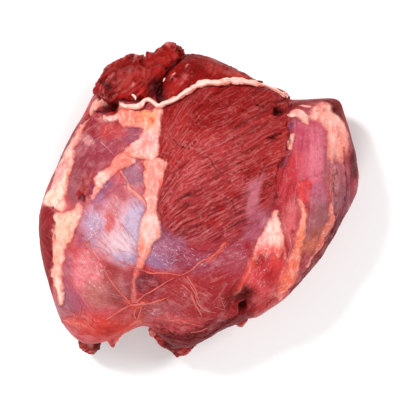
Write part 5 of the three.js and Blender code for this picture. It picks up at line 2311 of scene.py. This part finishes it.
FLAP = CutFlap(
    "cut_flap",
    near=((92, 91), (97, 96), (104, 100.5), (110, 103.5), (116, 100), (122, 99), (133, 100), (145, 97),
          (151, 93), (156, 87), (161, 77), (169, 65.5), (178, 57), (184, 51)),
    far=((92, 91), (96, 84), (100, 78), (105, 69), (113, 62), (123, 57), (132, 54.5), (140, 55.5),
         (145.5, 57.5), (147.5, 55), (147, 52), (152, 52), (157, 49.5), (163, 46), (172, 44), (178, 48),
         (184, 52.5)),
    over_mm=11.0, under_mm=12.0, corner=2.6, grain_degrees=44.0, bump_mm=1.3, bump_size_mm=5.5, fold_mm=1.0,
    fold_size_mm=(2.6, 11.0), ragged_px=0.8, lean_tint="#981814",
    # The near-black zone at 153, 86 is painted shade in the hollow below the upper fold.
    zones=zones_of((145, 94, 9, 7, -30, "#b01814", 0.95), (124, 82, 14, 5, -42, "#a83c38", 0.7),
                   (108, 92, 12, 8, -40, "#76120e", 0.8), (128, 66, 16, 8, -20, "#78120e"),
                   (165, 55, 13, 7, -40, "#981a14"), (146, 76, 12, 8, -40, "#a02420", 0.8),
                   (153, 86, 6, 9, 30, "#480808"), (114, 74, 8, 6, -40, "#8c2420", 0.7)),
    steps=200, ring=150, seed=220,
)
TIPS = (
    Slab(
        "heel_tip",
        near=((78, 342), (80, 348), (85, 352), (92, 354), (98, 351), (101, 344)),
        far=((78, 342), (82, 336), (88, 332), (94, 331), (99, 334), (101, 344)),
        over_mm=10, under_mm=10, level_mm=18.0, corner=2.2, steps=60, ring=50, bump_mm=1.2,
        bump_size_mm=5.0, lean_tint="#a03632",
        zones=zones_of((97, 346, 4, 6, 10, "#2c0808", 0.8), (91, 342, 2.5, 5, 20, "#cc948c", 0.8),
                       (84, 339, 5, 4, 0, "#c05450", 0.8)),
        seed=230,
    ),
    Slab(
        "round_tip",
        near=((151, 330), (156, 339), (161, 346), (168, 351), (178, 356.5), (187, 353.5), (195, 346),
              (200, 340)),
        far=((151, 330), (158, 327), (166, 328), (175, 330), (184, 332), (192, 334), (197, 336),
             (200, 340)),
        over_mm=10, under_mm=11, level_mm=16.0, corner=2.2, steps=80, ring=60, bump_mm=1.2,
        bump_size_mm=6.0, lean_tint="#8c2226",
        zones=zones_of((180, 345, 11, 2.6, -8, "#e8a098"), (170, 344, 8, 5, 20, "#5a1016", 0.8),
                       (160, 341, 4, 9, 30, "#c44440", 0.8), (186, 351, 6, 3, -20, "#b83c38", 0.8)),
        seed=240,
    ),
    Slab(
        "shank_tip",
        near=((231, 318), (235, 324), (242, 327), (247, 321), (250, 314)),
        far=((231, 318), (234, 308), (240, 304), (246, 306), (250, 314)),
        over_mm=10, under_mm=10, level_mm=28.0, corner=2.0, steps=50, ring=40, bump_mm=0.8,
        bump_size_mm=5.0, seed=250,
    ),
    Slab(
        "skin_tip",
        near=((103, 332), (107, 340), (113, 348), (117, 341), (124, 334)),
        far=((103, 332), (108, 329), (114, 327), (120, 328), (124, 334)),
        over_mm=1.6, under_mm=1.6, level_mm=30.0, corner=2.0, steps=50, ring=30, tint="#e0605a", lean=0.0,
        bump_mm=0.2, fold_mm=0.15, seed=260,
    ),
    Slab(
        "torn_nub",
        near=((148, 330), (150, 336), (154, 337), (158, 334)),
        far=((148, 330), (151, 327), (155, 328), (158, 334)),
        over_mm=4, under_mm=4, level_mm=20.0, corner=2.0, steps=36, ring=28, tint="#d87068", lean=0.0,
        bump_mm=0.5, bump_size_mm=3.0, fold_mm=0.2, seed=270,
    ),
)
FAT_EDGE = RibbonSet(
    "rump_fat_edge",
    (
        Ribbon(((120, 104, 1.6), (126, 106.5, 2.9), (134, 106.5, 3.0), (141, 105, 3.0), (147, 100, 2.2),
               (153, 102, 2.4), (159, 106, 2.4), (166, 103, 2.4), (176, 98.5, 2.7), (186, 92, 3.2),
               (196, 85.5, 3.5), (206, 83, 3.5), (217, 83, 3.7), (230, 80.6, 3.8), (244, 81.2, 3.9),
               (256, 83.8, 2.8), (266, 86.5, 1.2), (278, 91, 0.8), (286, 97, 0.7)), 3.4, 2.4, sides=28,
               wander_px=0.6, rough_mm=0.8, uneven=0.35, seed=410),
        Ribbon(((131, 95, 1.0), (133, 95, 1.4), (135.5, 98, 1.4), (135, 100.5, 0.8)), 2.0, 7.8, seed=420),
        Ribbon(((163, 82, 0.7), (164.5, 79, 0.9), (165, 77.5, 0.5)), 1.2, 4.9, seed=425),
        Ribbon(((282, 92, 1.0), (286, 95, 1.6), (287, 99, 1.0)), 2.4, 1.2, seed=437),
    ),
    fat_tint="#fbcfc2",
    edge_tint="#e48272",
    masks={"fat": 1.0},
)
THREADS = RibbonSet(
    "sinew_threads",
    (
        Ribbon(((88, 247, 0.6), (95, 258, 0.7), (105, 272, 0.8), (118, 290, 0.8), (131, 303, 0.9)), 0.9,
               0.1, wander_px=0.5),
        Ribbon(((118, 260, 0.4), (130, 266, 0.6), (140, 269, 0.9), (155, 273, 0.7), (175, 275, 0.8),
               (185, 274, 0.7), (200, 263, 0.8), (213, 256, 0.9), (225, 245, 0.7)), 0.9, 0.1,
               wander_px=1.4),
        Ribbon(((135, 303, 0.8), (147, 294, 0.8), (160, 286, 0.7), (175, 277, 0.5)), 0.9, 0.1,
               wander_px=0.8),
        Ribbon(((105, 320, 0.7), (118, 312, 0.9), (131, 305, 1.3), (145, 304, 1.1), (160, 300, 0.9),
               (170, 297, 0.6)), 1.1, 0.2, wander_px=0.8),
        Ribbon(((136, 308, 0.9), (134, 314, 0.9), (137, 319, 0.9), (140, 312, 0.8), (142, 306, 0.6)), 1.1,
               0.4),
        Ribbon(((190, 285, 0.5), (195, 293, 0.8), (200, 302, 0.6)), 0.8, 0.2),
        Ribbon(((195, 295, 0.5), (199, 305, 0.8), (207, 311, 0.7), (217, 313, 0.5)), 0.8, 0.2),
        Ribbon(((168, 321, 0.4), (178, 320, 0.6), (190, 324, 0.6), (203, 326, 0.4)), 0.6, 0.1,
               wander_px=0.8),
        Ribbon(((190, 333, 0.3), (199, 331, 0.5), (208, 328, 0.4)), 0.5, 0.1, wander_px=0.6),
        Ribbon(((181, 284, 0.5), (189, 291, 0.7), (194, 300, 0.6), (196, 310, 0.5)), 0.8, 0.2),
        Ribbon(((80, 315, 0.7), (81, 308, 0.5), (82, 303, 0.3)), 0.9, 0.2),
        Ribbon(((80, 315, 0.7), (87, 317, 0.7), (94, 323, 0.5)), 0.9, 0.2),
        Ribbon(((63, 268, 0.4), (72, 282, 0.6), (84, 300, 0.6), (96, 316, 0.5)), 0.8, 0.1, wander_px=0.8),
        Ribbon(((186, 276, 0.6), (191, 283, 0.8), (196, 291, 0.7), (197, 298, 0.5)), 0.8, 0.3,
               wander_px=0.8),
        Ribbon(((190, 295, 0.6), (194, 303, 0.8), (199, 311, 0.8), (202, 317, 0.5)), 0.8, 0.3,
               wander_px=0.8),
        Ribbon(((80, 317, 0.5), (73, 313, 0.5), (64, 309, 0.4)), 0.7, 0.2),
        Ribbon(((82, 319, 0.6), (90, 326, 0.8), (96, 331, 0.6)), 0.8, 0.2, wander_px=0.6),
        *Squiggles((200, 302), (24, 16), -30, 26, 7, (5, 10), 0.35, 61).ribbons(),
        *Squiggles((136, 304), (11, 5), -20, 45, 9, (5, 10), 0.55, 71).ribbons(),
        *Squiggles((84, 244), (4, 5), -50, 60, 7, (4, 7), 0.6, 72).ribbons(),
        *Squiggles((80, 320), (9, 5), -20, 60, 7, (4, 8), 0.45, 73).ribbons(),
    ),
    skin_tint="#d46660",
    edge_tint="#9a3432",
    masks={"sinew": 0.3},
)
FINE_THREADS = RibbonSet(
    "pale_threads",
    (
        Ribbon(((100, 141, 0.3), (108, 148, 0.4), (114, 155, 0.3)), 0.3, 0.0, wander_px=0.6),
        Ribbon(((121, 173, 0.4), (128, 183, 0.5), (137, 191, 0.5), (147, 204, 0.4)), 0.5, 0.3,
               wander_px=1.0),
        Ribbon(((107, 196, 0.4), (113, 205, 0.5), (120, 211, 0.4)), 0.5, 0.05),
        Ribbon(((283, 222, 0.4), (288, 232, 0.6), (291, 245, 0.6), (288, 256, 0.4)), 0.6, 0.1),
        Ribbon(((341, 203, 0.3), (335, 220, 0.4), (324, 240, 0.4), (311, 257, 0.3)), 0.5, 0.05,
               wander_px=0.2),
        # A thin pale line down the right lobe: pale threads, painted paler as a highlight along the edge.
        *Squiggles((331.5, 186), (1.2, 24), 88, 8, 9, (4, 9), 0.28, 80).ribbons(),
        *Squiggles((108, 232), (18, 20), -55, 10, 10, (8, 18), 0.16, 84).ribbons(),
    ),
    skin_tint="#cc7478",
    edge_tint="#b4585e",
    masks={"fat": 0.1},
)
# Pale wrinkles of wet membrane, painted paler as highlights where they catch the light.
WET_FOLD_HIGHLIGHTS = RibbonSet(
    "white_folds",
    (
        Ribbon(((104, 213, 0.3), (100, 220, 0.5), (97, 226, 0.6), (98, 231, 0.5), (92, 235, 0.6),
               (88, 241, 0.4)), 0.6, -0.1, wander_px=1.8, seed=431),
        *Squiggles((93, 229), (9, 14), 60, 24, 9, (3, 7), 0.26, 81).ribbons(),
        *Squiggles((170, 252), (24, 12), -38, 22, 14, (3, 6), 0.22, 83).ribbons(),
        *Squiggles((262, 268), (8, 16), 70, 40, 10, (2, 4), 0.26, 87).ribbons(),
        *Squiggles((92, 266), (12, 18), -55, 20, 12, (4, 8), 0.22, 89).ribbons(),
    ),
    skin_tint="#dcb0ba",
    edge_tint="#b47884",
)


def main() -> None:
    """Build the scene, piece by piece."""
    logging.basicConfig(level=logging.INFO, format="%(name)s: %(message)s")
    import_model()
    Studio().make()
    material = MeatMaterial().build()
    side = TrimmedSide()
    THREADS.side = FINE_THREADS.side = WET_FOLD_HIGHLIGHTS.side = side
    ribbons = (FAT_EDGE, THREADS, FINE_THREADS, WET_FOLD_HIGHLIGHTS)
    for part in (Body(side=side), CutFace(side=side), RUMP, FLAP, *TIPS, *ribbons):
        part.make(material)


if __name__ == "__main__":
    main()
